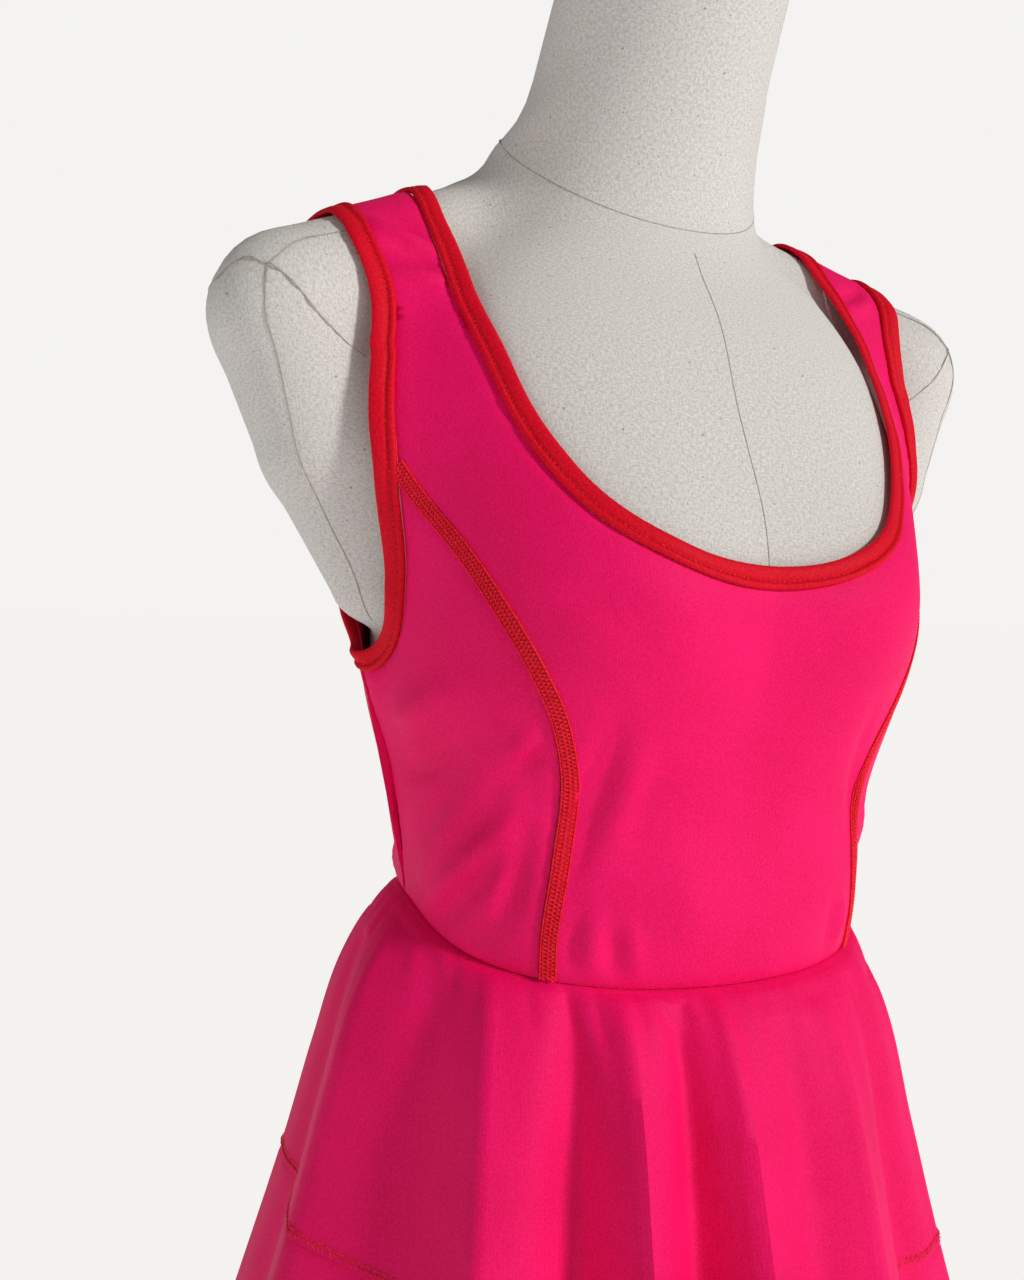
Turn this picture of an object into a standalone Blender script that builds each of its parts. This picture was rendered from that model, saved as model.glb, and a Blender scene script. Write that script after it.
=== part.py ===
"""Athletic dress on a limbless dress form.

A scoop-neck stretch dress: a bodice with princess seams and bound edges, a
flared skirt sewn on at the waist, and a second tier sewn under it.  It hangs
on a linen form with tapered shoulder caps, on a pole with a round foot.

Lengths below are in millimetres.  Shapes are worked out about the centre of
the waist, with the front towards -Y and the wearer's left towards +X, and
`place` puts them in metres above the floor.
"""
import math

import bmesh
import bpy
import numpy as np
from mathutils import Vector
from mathutils.geometry import delaunay_2d_cdt

# ---------------------------------------------------------------- dimensions
WAIST_HEIGHT = 1040.0        # centre of the waist above the floor
CHEST_LEVEL = 240.0          # rings are level up to here, then fan upwards
FAN_RADIUS = 100.0           # millimetres of ring level for one radian of fan
NECK_ROOT_LEVEL = 336.0      # rings start to close in on the neck
NECK_LEVEL = 400.0           # rings stand square on the neck from here up
FORM_BOTTOM = -280.0

WALL = 1.5                   # cloth wall
EASE = 3.0                   # cloth clear of the form
SEAM_GAP = 0.34              # between pieces that are sewn together
ARMHOLE_STAND_OFF = 7.0      # the underarm stands away from the form
STRAP_SEAT = 2.0             # the straps press this much closer on top of the shoulders
STRAP_SEAT_LEVEL = 308.0

WAIST_DIP_FRONT = -24.5      # level of the waist seam at the centre front
WAIST_LEVEL_BACK = 4.0
WAIST_BEND = 3.8             # how late the waist seam falls on its way from the side to the front
SKIRT_LENGTH = 134.0         # waist seam to the seam of the lower tier
FLOUNCE_LENGTH = 252.0       # tier seam to the hem

SKIRT_WALL = 1.6

POLE_RADIUS = 16.0
BASE_RADIUS = 175.0
BASE_THICKNESS = 8.0
HUB_RADIUS = 24.0
HUB_HEIGHT = 56.0
COLLAR_NECK = 24.0
COLLAR_RADIUS = 46.0
COLLAR_HEIGHT = 26.0
REST_GAP = 0.3

# Form, level by level: height, half width, front depth, back depth,
# centre towards the back, squareness of the section
TRUNK_SECTIONS = (
    (-280, 121, 84, 96, 6, 2.25),
    (-230, 128, 88, 102, 8, 2.25),
    (-180, 127, 89, 104, 10, 2.25),
    (-110, 118, 85, 98, 8, 2.2),
    (-50, 108, 84, 87, 2, 2.2),
    (0, 107, 95, 81, 0, 2.2),
    (50, 113, 96, 85, 2, 2.25),
    (100, 123, 108, 92, 4, 2.35),
    (145, 124, 117, 97, 6, 2.45),
    (200, 131, 104, 100, 8, 2.5),
    (250, 122, 84, 98, 10, 2.4),
    (290, 98, 66, 88, 16, 2.3),
    (320, 65, 57, 74, 28, 2.1),
    (350, 53, 50, 56, 28, 2.0),
)
TRUNK_TOP = 345.0
BUST = {"x": 62.0, "z": 132.0, "half_width": 46.0, "half_height": 48.0, "depth": 12.0}
# Round limbs, ball by ball: x, y, height, radius
SHOULDER_CAP = ((70, 42, 300, 37.5), (165, 17, 260.5, 37.5), (150, 12, 203, 30.5), (134, 7, 143, 14.5))
NECK = ((0, 19.5, 333, 57), (0, -67, 500, 48.5))
# How softly the caps run into the trunk: height, on the form, under the cloth,
# which spans the hollow between chest and cap
SHOULDER_BLENDS = ((110, 20, 20), (190, 36, 52), (255, 32, 52), (310, 20, 40))
FORM_SKIN = 1                # columns of SHOULDER_BLENDS
CLOTH_SKIN = 2
LIMB_BLEND = 8.0
NECK_BLEND = 39.0
NECK_LEAN = math.radians(27.0)

# Rings: level, half length of the line that the ring's rays start from
RING_SPREAD = ((-280, 70), (-25, 70), (60, 92), (120, 108), (190, 125), (240, 125), (300, 45), (336, 25), (400, 0))

PATTERN_WIDTH = 110.0        # flat pattern: its width from the centre to the side,
PATTERN_PER_DEGREE = 0.7     # and what each degree of turn adds
HALF_PATTERN = PATTERN_WIDTH + 90 * PATTERN_PER_DEGREE   # centre front to the side

# Neckline seam, half of it, on the flat pattern: across from the centre front, level
NECKLINE = (
    (0, 144), (28, 149), (53, 167), (65, 185), (74, 205), (79, 222), (85, 237), (93, 249), (109, 263), (135, 281),
    (152, 297), (167, 313), (182, 322), (208, 306), (238, 282), (272, 262), (305, 252), (346, 249),
)
# Armhole seam, from the shoulder down the front, round the underarm and up the
# back: across, level
ARMHOLE = (
    (180, 302), (171, 299), (163, 290), (147, 270), (132, 254), (120, 239), (116, 224), (116, 205), (117, 185),
    (119, 160), (124, 140), (132, 122), (145, 111), (164, 105), (180, 107), (194, 112), (208, 125), (224, 151),
    (235, 192), (237, 220), (234, 240), (224, 254), (208, 270), (192, 292),
)
# Princess seam from the armhole to the waist: across, level
PRINCESS = ((117, 185), (99, 158), (88, 132), (79, 106), (74, 85), (73, 60), (79, 32), (88, 0), (91, -18))
SIDE_SEAM = 176.0

# Skirt: distance below the waist seam, how far it stands out there
SKIRT_FLARE = ((0, 0), (6, 6), (14, 12), (40, 24), (80, 34), (130, 46), (200, 66), (300, 96), (400, 126))
# The wearer's left hip hangs flatter: distance below the waist seam, how much less it stands out
FLAT_HIP = ((0, 0), (20, 10), (60, 22), (130, 25), (400, 28))
FLAT_HIP_PLACE = 150.0
FLAT_HIP_WIDTH = 46.0
# Folds: place across the pattern, half width, depth at the hem (inwards if
# negative), distance below the waist seam where it starts
FOLD_GROWTH = 0.7
SKIRT_FOLDS = (
    (-160, 14, 22, 8), (-133, 11, -13, 20), (-100, 14, 20, 6), (-72, 9, -20, 6), (-52, 10, 16, 20),
    (-29, 8, -16, 8), (-12, 8, 12, 24), (16, 12, -10, 14), (44, 13, 17, 10), (76, 11, -16, 8),
    (104, 14, 18, 16), (135, 11, -13, 22), (163, 13, 19, 10), (192, 11, -12, 16), (220, 13, 17, 8),
    (247, 10, -15, 20), (271, 12, 15, 12), (298, 11, -14, 8), (324, 12, 16, 18), (352, 11, -12, 10),
    (380, 13, 18, 8), (408, 10, -15, 16), (433, 12, 16, 12), (461, 11, -13, 8), (486, 12, 15, 14),
    (510, 9, -12, 20),
)

# Binding section of a band 1 mm wide: reach from the seam; height off the inside face in mm
BINDING_SECTION = ((0.025, 0.0), (0.93, 0.0), (1.0, 1.3), (0.92, 2.7), (0.45, 3.0), (0.025, 2.3))
NECK_BAND, ARMHOLE_BAND = 9.8, 11.2

# Fineness of the meshes
PANEL_STEP = 15.0
ARMHOLE_STEP = 12.0
LONGEST_EDGE = 23.0          # inner edges of a bodice panel
PANEL_REFINING = 3           # rounds of splitting longer ones
MIDDLES_APART = 5.0
SKIRT_COLUMNS = 66
SKIRT_ROWS = 5
FLOUNCE_ROWS = 5
FORM_COLUMNS = 58
FORM_EVENING = 12            # rounds of evening out the form's points
FORM_LEVELS = (
    -280, -230, -180, -130, -85, -45, -10, 25, 60, 88, 106, 116, 122, 127, 131, 135, 141, 150, 163, 180, 198, 216, 232,
    241, 250, 259, 268, 277, 286, 296, 308, 322, 336, 350, 365, 382, 400, 450, 500, 552,
)


# ---------------------------------------------------------------- curves
def smooth_table(table, column, x):
    """Smooth curve through one column of a table, read at x."""
    xs = np.array([row[0] for row in table], float)
    ys = np.array([row[column] for row in table], float)
    secants = np.diff(ys) / np.diff(xs)
    slopes = np.empty_like(ys)
    slopes[1:-1] = (secants[:-1] + secants[1:]) / 2
    slopes[0] = secants[0]
    slopes[-1] = secants[-1]
    x = np.clip(np.asarray(x, float), xs[0], xs[-1])
    i = np.clip(np.searchsorted(xs, x) - 1, 0, len(xs) - 2)
    step = xs[i + 1] - xs[i]
    t = (x - xs[i]) / step
    return ((1 + 2 * t) * (1 - t) ** 2 * ys[i] + t * (1 - t) ** 2 * step * slopes[i]
            + t * t * (3 - 2 * t) * ys[i + 1] + t * t * (t - 1) * step * slopes[i + 1])


def smooth_line(points, spacing, closed=False):
    """Even points on a smooth curve through points of the plane."""
    points = np.array(points, float)
    if closed:
        padded = np.vstack([points[-1], points, points[:2]])
    else:
        padded = np.vstack([2 * points[0] - points[1], points, 2 * points[-1] - points[-2]])
    fine = []
    for a, b, c, d in zip(padded[:-3], padded[1:-2], padded[2:-1], padded[3:]):
        for t in np.linspace(0, 1, 24, endpoint=False):
            fine.append(0.5 * (2 * b + (c - a) * t + (2 * a - 5 * b + 4 * c - d) * t ** 2
                               + (3 * b - a - 3 * c + d) * t ** 3))
    fine.append(points[0] if closed else points[-1])
    return even_points(np.array(fine), spacing, closed)


def even_points(line, spacing, closed=False, measured=None):
    """The same polyline with points about `spacing` apart, measured on it or on its place in space."""
    steps = np.diff(line if measured is None else measured, axis=0)
    lengths = np.concatenate([[0], np.cumsum(np.linalg.norm(steps, axis=1))])
    count = max(2, round(lengths[-1] / spacing) + 1)
    at = np.linspace(0, lengths[-1], count)
    out = np.stack([np.interp(at, lengths, line[:, k]) for k in range(line.shape[1])], axis=-1)
    return out[:-1] if closed else out


# ---------------------------------------------------------------- the form's shape
def soft_union(a, b, blend):
    """Smaller of two fields, rounded where they meet."""
    h = np.clip(0.5 + 0.5 * (b - a) / blend, 0, 1)
    return b * (1 - h) + a * h - blend * h * (1 - h)


def limb(points, balls):
    """Field of a chain of balls joined by straight tapers."""
    field = None
    for (*start, start_radius), (*end, end_radius) in zip(balls[:-1], balls[1:]):
        start = np.array(start)
        axis = np.array(end) - start
        t = np.clip((points - start) @ axis / (axis @ axis), 0, 1)
        radius = start_radius + (end_radius - start_radius) * t
        taper = np.linalg.norm(points - start - t[..., None] * axis, axis=-1) - radius
        field = taper if field is None else soft_union(field, taper, LIMB_BLEND)
    return field


def form_field(points, skin=FORM_SKIN):
    """About the distance outside the form; negative inside it."""
    x = np.abs(points[..., 0])
    y = points[..., 1]
    z = points[..., 2]
    mirrored = np.stack([x, y, z], axis=-1)
    half, front, back, centre, power = (smooth_table(TRUNK_SECTIONS, k, z) for k in range(1, 6))
    depth = np.where(y < centre, front, back)
    radial = ((x / half) ** power + (np.abs(y - centre) / depth) ** power) ** (1 / power) + 1e-9
    trunk = np.hypot(x, y - centre) * (1 - 1 / radial)
    bust = BUST["depth"] * np.exp(-((x - BUST["x"]) / BUST["half_width"]) ** 2
                                  - ((z - BUST["z"]) / BUST["half_height"]) ** 2)
    trunk = trunk - bust * np.clip((centre - y) / 60, 0, 1)
    trunk = np.maximum(trunk, z - TRUNK_TOP)
    body = soft_union(trunk, limb(mirrored, SHOULDER_CAP), smooth_table(SHOULDER_BLENDS, skin, z))
    return soft_union(body, limb(mirrored, NECK), NECK_BLEND)


def ring_slide(angle):
    """How far along its line a ray starts, from -1 to 1."""
    return np.tanh(2 * np.sin(np.radians(angle))) / math.tanh(2)


def pattern_across(angle):
    """Flat distance round the ring from the centre front, about as on the body."""
    angle = np.asarray(angle, float)
    folded = np.where(np.abs(angle) > 90, np.sign(angle) * 180 - angle, angle)
    across = PATTERN_WIDTH * ring_slide(folded) + PATTERN_PER_DEGREE * folded
    return np.where(np.abs(angle) > 90, np.sign(angle) * 2 * HALF_PATTERN - across, across)


def ring_angle(across):
    """Ring angle in degrees of a distance on the flat pattern."""
    angles = np.linspace(-180, 180, 1441)
    wrapped = (np.asarray(across, float) + 2 * HALF_PATTERN) % (4 * HALF_PATTERN) - 2 * HALF_PATTERN
    return np.interp(wrapped, pattern_across(angles), angles)


def ring_rays(angle, level):
    """Start and direction of the ray of each angle (degrees) on each ring."""
    angle = np.radians(np.asarray(angle, float))
    level = np.asarray(level, float)
    angle, level = np.broadcast_arrays(angle, level)
    closing = np.clip((level - NECK_ROOT_LEVEL) / (NECK_LEVEL - NECK_ROOT_LEVEL), 0, 1)
    above = np.clip(level - NECK_LEVEL, 0, None)
    widest_fan = (NECK_ROOT_LEVEL - CHEST_LEVEL) / FAN_RADIUS
    fan = np.clip((level - CHEST_LEVEL) / FAN_RADIUS, 0, widest_fan) * (1 - closing)
    lean = NECK_LEAN * closing
    centre_z = np.minimum(level, CHEST_LEVEL) + closing * (338 - CHEST_LEVEL) + above * math.cos(NECK_LEAN)
    centre_y = 6 + closing * 10 - above * math.sin(NECK_LEAN)
    start_x = smooth_table(RING_SPREAD, 1, level) * ring_slide(np.degrees(angle))
    start = np.stack([start_x, centre_y, centre_z], axis=-1)
    forward = np.cos(angle) * np.cos(fan)
    direction = np.stack([np.sin(angle) * np.cos(fan),
                          -forward * np.cos(lean) - np.sin(fan) * np.sin(lean),
                          -forward * np.sin(lean) + np.sin(fan) * np.cos(lean)], axis=-1)
    return start, direction


def form_point(angle, level, clear=0.0, skin=FORM_SKIN):
    """Point of each ring's ray that lies `clear` outside the form."""
    start, direction = ring_rays(angle, level)
    clear = np.broadcast_to(clear, start.shape[:-1])
    reach = np.linspace(230, 0, 60)
    samples = start[..., None, :] + reach[:, None] * direction[..., None, :]
    inside = form_field(samples, skin) < clear[..., None]
    first = np.clip(np.argmax(inside, axis=-1), 1, len(reach) - 1)
    outer = reach[first - 1]
    inner = reach[first]
    for _ in range(20):
        middle = (outer + inner) / 2
        hit = form_field(start + middle[..., None] * direction, skin) < clear
        inner = np.where(hit, middle, inner)
        outer = np.where(hit, outer, middle)
    return start + middle[..., None] * direction


def field_normal(points, skin=CLOTH_SKIN):
    """Unit vectors that point straight out of the form or the cloth."""
    step = 0.5
    gradient = np.stack([form_field(points + step * axis, skin) - form_field(points - step * axis, skin)
                         for axis in np.eye(3)], axis=-1)
    return gradient / np.linalg.norm(gradient, axis=-1, keepdims=True)


def cloth_clearance(angle, level):
    """Ease of the bodice: proud under the arms, and seated on the shoulders."""
    side = np.exp(-((np.abs(angle) - 92) / 26) ** 2)
    underarm = np.exp(-((level - 116) / 30) ** 2)
    shoulder = np.exp(-((level - STRAP_SEAT_LEVEL) / 22) ** 2)
    return EASE + ARMHOLE_STAND_OFF * side * underarm - STRAP_SEAT * shoulder


def bodice_point(angle, level, lift=0.0):
    """Inside face of the bodice, or a point lifted off it."""
    inner = form_point(angle, level, cloth_clearance(angle, level), CLOTH_SKIN)
    return inner + np.asarray(lift)[..., None] * field_normal(inner)


# ---------------------------------------------------------------- building
def place(points):
    """Millimetres about the waist to metres above the floor."""
    return (np.asarray(points, float) + (0, 0, WAIST_HEIGHT)) / 1000


def make_material(name, colour, roughness, metallic=0.0):
    material = bpy.data.materials.new(name)
    material.use_nodes = True
    shader = material.node_tree.nodes["Principled BSDF"]
    shader.inputs["Base Color"].default_value = (*colour, 1)
    shader.inputs["Roughness"].default_value = roughness
    shader.inputs["Metallic"].default_value = metallic
    material.diffuse_color = (*colour, 1)
    return material


def add_object(name, points, faces, material):
    mesh = bpy.data.meshes.new(name)
    mesh.from_pydata([tuple(p) for p in place(points)], [], [tuple(f) for f in faces])
    mesh.materials.append(material)
    mesh.shade_smooth()
    mesh.set_sharp_from_angle(angle=math.radians(40))
    obj = bpy.data.objects.new(name, mesh)
    bpy.context.scene.collection.objects.link(obj)
    return obj


def closed_wall(inner, outer, triangles, border):
    """Points and faces of a wall between two sheets, closed along its border."""
    count = len(inner)
    faces = [tuple(t) for t in triangles + count]
    faces += [tuple(t[::-1]) for t in triangles]
    for a, b in zip(border, np.roll(border, -1)):
        faces.append((a, b, b + count, a + count))
    return np.vstack([inner, outer]), faces


def inset_outline(outline, gap, surface):
    """Move a counter-clockwise outline of the pattern inwards by a real distance."""
    before = np.roll(outline, 1, axis=0)
    after = np.roll(outline, -1, axis=0)

    def inward(a, b):
        along = b - a
        along /= np.linalg.norm(along, axis=1, keepdims=True)
        return np.stack([-along[:, 1], along[:, 0]], axis=-1)

    first = inward(before, outline)
    second = inward(outline, after)
    mitre = first + second
    mitre /= np.linalg.norm(mitre, axis=1, keepdims=True)
    spread = np.clip(np.sum(mitre * first, axis=1), 0.5, 1)
    probe = 0.5
    moved = surface(outline + probe * mitre) - surface(outline)
    stretch = np.linalg.norm(moved, axis=1) / probe
    return outline + mitre * (gap / (spread * stretch))[:, None]


def pattern_surface(flat, lift=0.0):
    """Point of the bodice at each (across, level) of its flat pattern."""
    return bodice_point(ring_angle(flat[:, 0]), flat[:, 1], lift)


def inside_polygon(points, outline):
    """Which points lie inside a closed outline."""
    x, y = points[:, 0:1], points[:, 1:2]
    x0, y0 = outline[:, 0], outline[:, 1]
    x1, y1 = np.roll(x0, -1), np.roll(y0, -1)
    rise = np.where(y1 == y0, 1e-9, y1 - y0)
    crossing = ((y0 > y) != (y1 > y)) & (x < (x1 - x0) * (y - y0) / rise + x0)
    return crossing.sum(axis=1) % 2 == 1


def distance_to_outline(points, outline):
    start = outline[None]
    along = (np.roll(outline, -1, axis=0) - outline)[None]
    offset = points[:, None] - start
    t = np.clip((offset * along).sum(-1) / (along * along).sum(-1), 0, 1)
    return np.linalg.norm(offset - t[..., None] * along, axis=-1).min(axis=1)


def triangulate(flat, border):
    """Triangles over points of the flat pattern, inside a border of its first points."""
    edges = [(int(a), int(b)) for a, b in zip(border, np.roll(border, -1))]
    verts, _, triangles, _, _, _ = delaunay_2d_cdt([Vector(p) for p in flat], edges, [], 1, 1e-6)
    return np.array([tuple(v) for v in verts]), np.array(triangles)


def middles_of_long_edges(flat, triangles, border_count):
    """Middles, on the pattern, of the inner edges that are too long in space."""
    edges = np.vstack([triangles[:, [0, 1]], triangles[:, [1, 2]], triangles[:, [2, 0]]])
    edges = np.unique(np.sort(edges, axis=1), axis=0)
    span = (edges[:, 1] - edges[:, 0]) % max(border_count - 1, 1)
    on_border = (edges[:, 1] < border_count) & ((span == 0) | (edges[:, 1] - edges[:, 0] == 1))
    edges = edges[~on_border]
    place_on_body = pattern_surface(flat)
    length = np.linalg.norm(place_on_body[edges[:, 0]] - place_on_body[edges[:, 1]], axis=1)
    longest = edges[length > LONGEST_EDGE]
    middles = (flat[longest[:, 0]] + flat[longest[:, 1]]) / 2
    kept = []
    for middle in middles:
        if not kept or np.linalg.norm(np.array(kept) - middle, axis=1).min() > MIDDLES_APART:
            kept.append(middle)
    return np.array(kept)


def cut_panel(name, outline, material):
    """A bodice panel: a cloth wall over the inside of a pattern outline."""
    area = np.sum(outline[:, 0] * np.roll(outline[:, 1], -1) - outline[:, 1] * np.roll(outline[:, 0], -1))
    outline = outline if area > 0 else outline[::-1]
    outline = inset_outline(outline, SEAM_GAP / 2, pattern_surface)
    spacing = PANEL_STEP
    low, high = outline.min(axis=0), outline.max(axis=0)
    grid = []
    for row, y in enumerate(np.arange(low[1] + spacing / 2, high[1], spacing * 0.87)):
        shift = spacing / 2 * (row % 2)
        grid += [(x + shift, y) for x in np.arange(low[0], high[0], spacing)]
    grid = np.array(grid)
    keep = inside_polygon(grid, outline) & (distance_to_outline(grid, outline) > spacing * 0.55)
    border = np.arange(len(outline))
    flat, triangles = triangulate(np.vstack([outline, grid[keep]]), border)
    for _ in range(PANEL_REFINING):
        long_middles = middles_of_long_edges(flat, triangles, len(border))
        if not len(long_middles):
            break
        flat, triangles = triangulate(np.vstack([flat, long_middles]), border)
    a, b, c = (flat[triangles[:, k]] for k in range(3))
    turned = (b - a)[:, 0] * (c - a)[:, 1] - (b - a)[:, 1] * (c - a)[:, 0] < 0
    triangles[turned] = triangles[turned][:, ::-1]
    inner = pattern_surface(flat)
    outer = pattern_surface(flat, WALL)
    return add_object(name, *closed_wall(inner, outer, triangles, border), material)


def turned(name, profile, sides, material):
    """A solid turned about the vertical through the waist: radius, height above the floor."""
    points = []
    faces = []
    for radius, height in profile:
        for k in range(sides):
            turn = 2 * math.pi * k / sides
            points.append((radius * math.cos(turn), radius * math.sin(turn), height - WAIST_HEIGHT))
    for row in range(len(profile) - 1):
        for k in range(sides):
            a = row * sides + k
            b = row * sides + (k + 1) % sides
            faces.append((a, b, b + sides, a + sides))
    faces.append(range(sides - 1, -1, -1))
    faces.append(range((len(profile) - 1) * sides, len(profile) * sides))
    return add_object(name, points, faces, material)


# ---------------------------------------------------------------- design lines
def waist_level(across):
    """Level of the waist seam, low at the front."""
    front = (0.5 + 0.5 * np.cos(np.radians(ring_angle(across)))) ** WAIST_BEND
    return WAIST_LEVEL_BACK + (WAIST_DIP_FRONT - WAIST_LEVEL_BACK) * front


def waist_line(start, end):
    across = np.linspace(start, end, max(2, round(abs(end - start) / PANEL_STEP) + 1))
    return np.stack([across, waist_level(across)], axis=-1)


def neckline():
    """The whole neckline seam, from the centre back round the front to the centre back."""
    half = np.array(NECKLINE, float)
    whole = np.vstack([half[:0:-1] * (-1, 1), half])
    return smooth_line(whole, 1.0)


def nearest(line, point):
    return int(np.argmin(np.linalg.norm(line - point, axis=1)))


def stretch_of(ring, start, end, spacing):
    """Part of a closed line between the points nearest to two others."""
    first, last = nearest(ring, start), nearest(ring, end)
    part = ring[first:last + 1] if first <= last else np.vstack([ring[first:], ring[:last + 1]])
    return even_points(part, spacing, measured=pattern_surface(part))


def armhole_seams(side):
    """Front, underarm and back stretches of one armhole seam; side +1 is the wearer's left."""
    ring = smooth_line(np.array(ARMHOLE) * (side, 1), 1.0, closed=True)
    shoulder = ring[0]
    princess_top = np.array(PRINCESS[0]) * (side, 1)
    underarm = np.array([side * SIDE_SEAM, 106.0])
    return {"front": stretch_of(ring, shoulder, princess_top, ARMHOLE_STEP),
            "underarm": stretch_of(ring, princess_top, underarm, ARMHOLE_STEP),
            "back": stretch_of(ring, underarm, shoulder, ARMHOLE_STEP)}


def neck_seams(left_shoulder, right_shoulder):
    """Front and back stretches of the neckline seam, split above the armholes."""
    whole = neckline()[:-1]
    left = left_shoulder + np.array([2, 20])
    right = right_shoulder + np.array([-2, 20])
    front = stretch_of(whole, right, left, PANEL_STEP)
    over_back = np.vstack([whole, whole + (4 * HALF_PATTERN, 0)])
    first = nearest(over_back, left)
    last = nearest(over_back, right + (4 * HALF_PATTERN, 0))
    back = over_back[first:last + 1]
    return {"front": front, "back": even_points(back, PANEL_STEP, measured=pattern_surface(back))}


def princess_seam(side, top):
    """Princess seam of one side, from its armhole to the waist."""
    rows = np.array(PRINCESS) * (side, 1)
    rows[0] = top
    rows[-1, 1] = waist_level(rows[-1, 0])
    return smooth_line(rows, PANEL_STEP)


def design_lines():
    holes = {side: armhole_seams(side) for side in (1, -1)}
    return {"armholes": holes,
            "neck": neck_seams(holes[1]["front"][0], holes[-1]["front"][0]),
            "princess": {side: princess_seam(side, holes[side]["front"][-1]) for side in (1, -1)}}


def outline_of(*stretches):
    """One closed outline from stretches that follow one another."""
    points = []
    for stretch in stretches:
        for point in stretch:
            if not points or np.linalg.norm(points[-1] - point) > 0.01:
                points.append(point)
    if np.linalg.norm(points[0] - points[-1]) < 0.01:
        points.pop()
    return np.array(points)


# ---------------------------------------------------------------- the dress
def bodice(lines, material):
    princess, holes, neck = lines["princess"], lines["armholes"], lines["neck"]
    cut_panel("bodice_front", outline_of(
        waist_line(princess[-1][-1][0], princess[1][-1][0]),
        princess[1][::-1],
        holes[1]["front"][::-1],
        neck["front"][::-1],
        holes[-1]["front"],
        princess[-1]), material)
    for side, word in ((-1, "right"), (1, "left")):
        foot = holes[side]["underarm"][-1]
        side_seam = even_points(np.array([foot, (foot[0], waist_level(foot[0]))]), PANEL_STEP)
        cut_panel(f"bodice_side_front_{word}", outline_of(
            holes[side]["underarm"],
            side_seam,
            waist_line(foot[0], princess[side][-1][0]),
            princess[side][::-1]), material)
    right_hole = holes[-1]["back"] + (4 * HALF_PATTERN, 0)
    left_hole = holes[1]["back"]
    cut_panel("bodice_back", outline_of(
        waist_line(left_hole[0][0], right_hole[0][0]),
        right_hole,
        neck["back"][::-1],
        left_hole[::-1]), material)


def binding(name, line, opening, width, material):
    """A folded band sewn along a closed seam, on the side of the opening."""
    across, level = line[:, 0], line[:, 1]
    angle = ring_angle(across)
    clear = cloth_clearance(angle, level)
    seam = form_point(angle, level, clear, CLOTH_SKIN)
    normal = field_normal(seam)
    along = np.roll(seam, -1, axis=0) - np.roll(seam, 1, axis=0)
    inward = np.cross(normal, along)
    inward /= np.linalg.norm(inward, axis=1, keepdims=True)
    if np.sum(inward * (np.array(opening) - seam)) < 0:
        inward = -inward
    rows = []
    for reach, height in BINDING_SECTION:
        point = seam + width * reach * inward
        for _ in range(2):
            lift = form_field(point, CLOTH_SKIN) - clear
            point = point - lift[:, None] * field_normal(point)
        rows.append(point + height * field_normal(point))
    rows = np.stack(rows, axis=1)
    count, sides = rows.shape[:2]
    faces = []
    for i in range(count):
        for k in range(sides):
            a, b = i * sides + k, i * sides + (k + 1) % sides
            c, d = (i + 1) % count * sides + (k + 1) % sides, (i + 1) % count * sides + k
            faces.append((a, b, c, d))
    obj = add_object(name, rows.reshape(-1, 3), faces, material)
    face_outwards(obj)
    return obj


def face_outwards(obj):
    """Turn every face so that the closed mesh has a positive volume."""
    shape = bmesh.new()
    shape.from_mesh(obj.data)
    if shape.calc_volume(signed=True) < 0:
        bmesh.ops.reverse_faces(shape, faces=shape.faces)
    shape.to_mesh(obj.data)
    shape.free()


def bindings(lines, material):
    neck = outline_of(lines["neck"]["front"], lines["neck"]["back"])
    binding("neck_binding", neck, (0, 20, 345), NECK_BAND, material)
    for side, word in ((-1, "right"), (1, "left")):
        hole = lines["armholes"][side]
        line = outline_of(hole["front"], hole["underarm"], hole["back"])
        binding(f"armhole_binding_{word}", line, (side * 165, 15, 220), ARMHOLE_BAND, material)


def fold_lift(across, drop):
    """How far the folds push the skirt out, or in, below the waist seam."""
    lift = np.zeros(np.broadcast(across, drop).shape)
    for place_across, half_width, depth, start in SKIRT_FOLDS:
        down = np.clip((drop - start) / (SKIRT_LENGTH + FLOUNCE_LENGTH - start), 0, None)
        away = (across - place_across + 2 * HALF_PATTERN) % (4 * HALF_PATTERN) - 2 * HALF_PATTERN
        lift += depth * down ** FOLD_GROWTH * np.exp(-(away / half_width) ** 2)
    return lift


def skirt_point(across, drop):
    """Inside face of the skirt, `drop` below the waist seam."""
    angle = ring_angle(across)
    top = waist_level(across)
    waist = form_point(angle, top, EASE, CLOTH_SKIN)
    flat_hip = smooth_table(FLAT_HIP, 1, drop) * np.exp(-((across - FLAT_HIP_PLACE) / FLAT_HIP_WIDTH) ** 2)
    out = smooth_table(SKIRT_FLARE, 1, drop) - flat_hip + fold_lift(across, drop)
    sideways = np.sin(np.radians(angle)) * out
    forwards = -np.cos(np.radians(angle)) * out
    return waist + np.stack([sideways, forwards, -drop], axis=-1)


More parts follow.
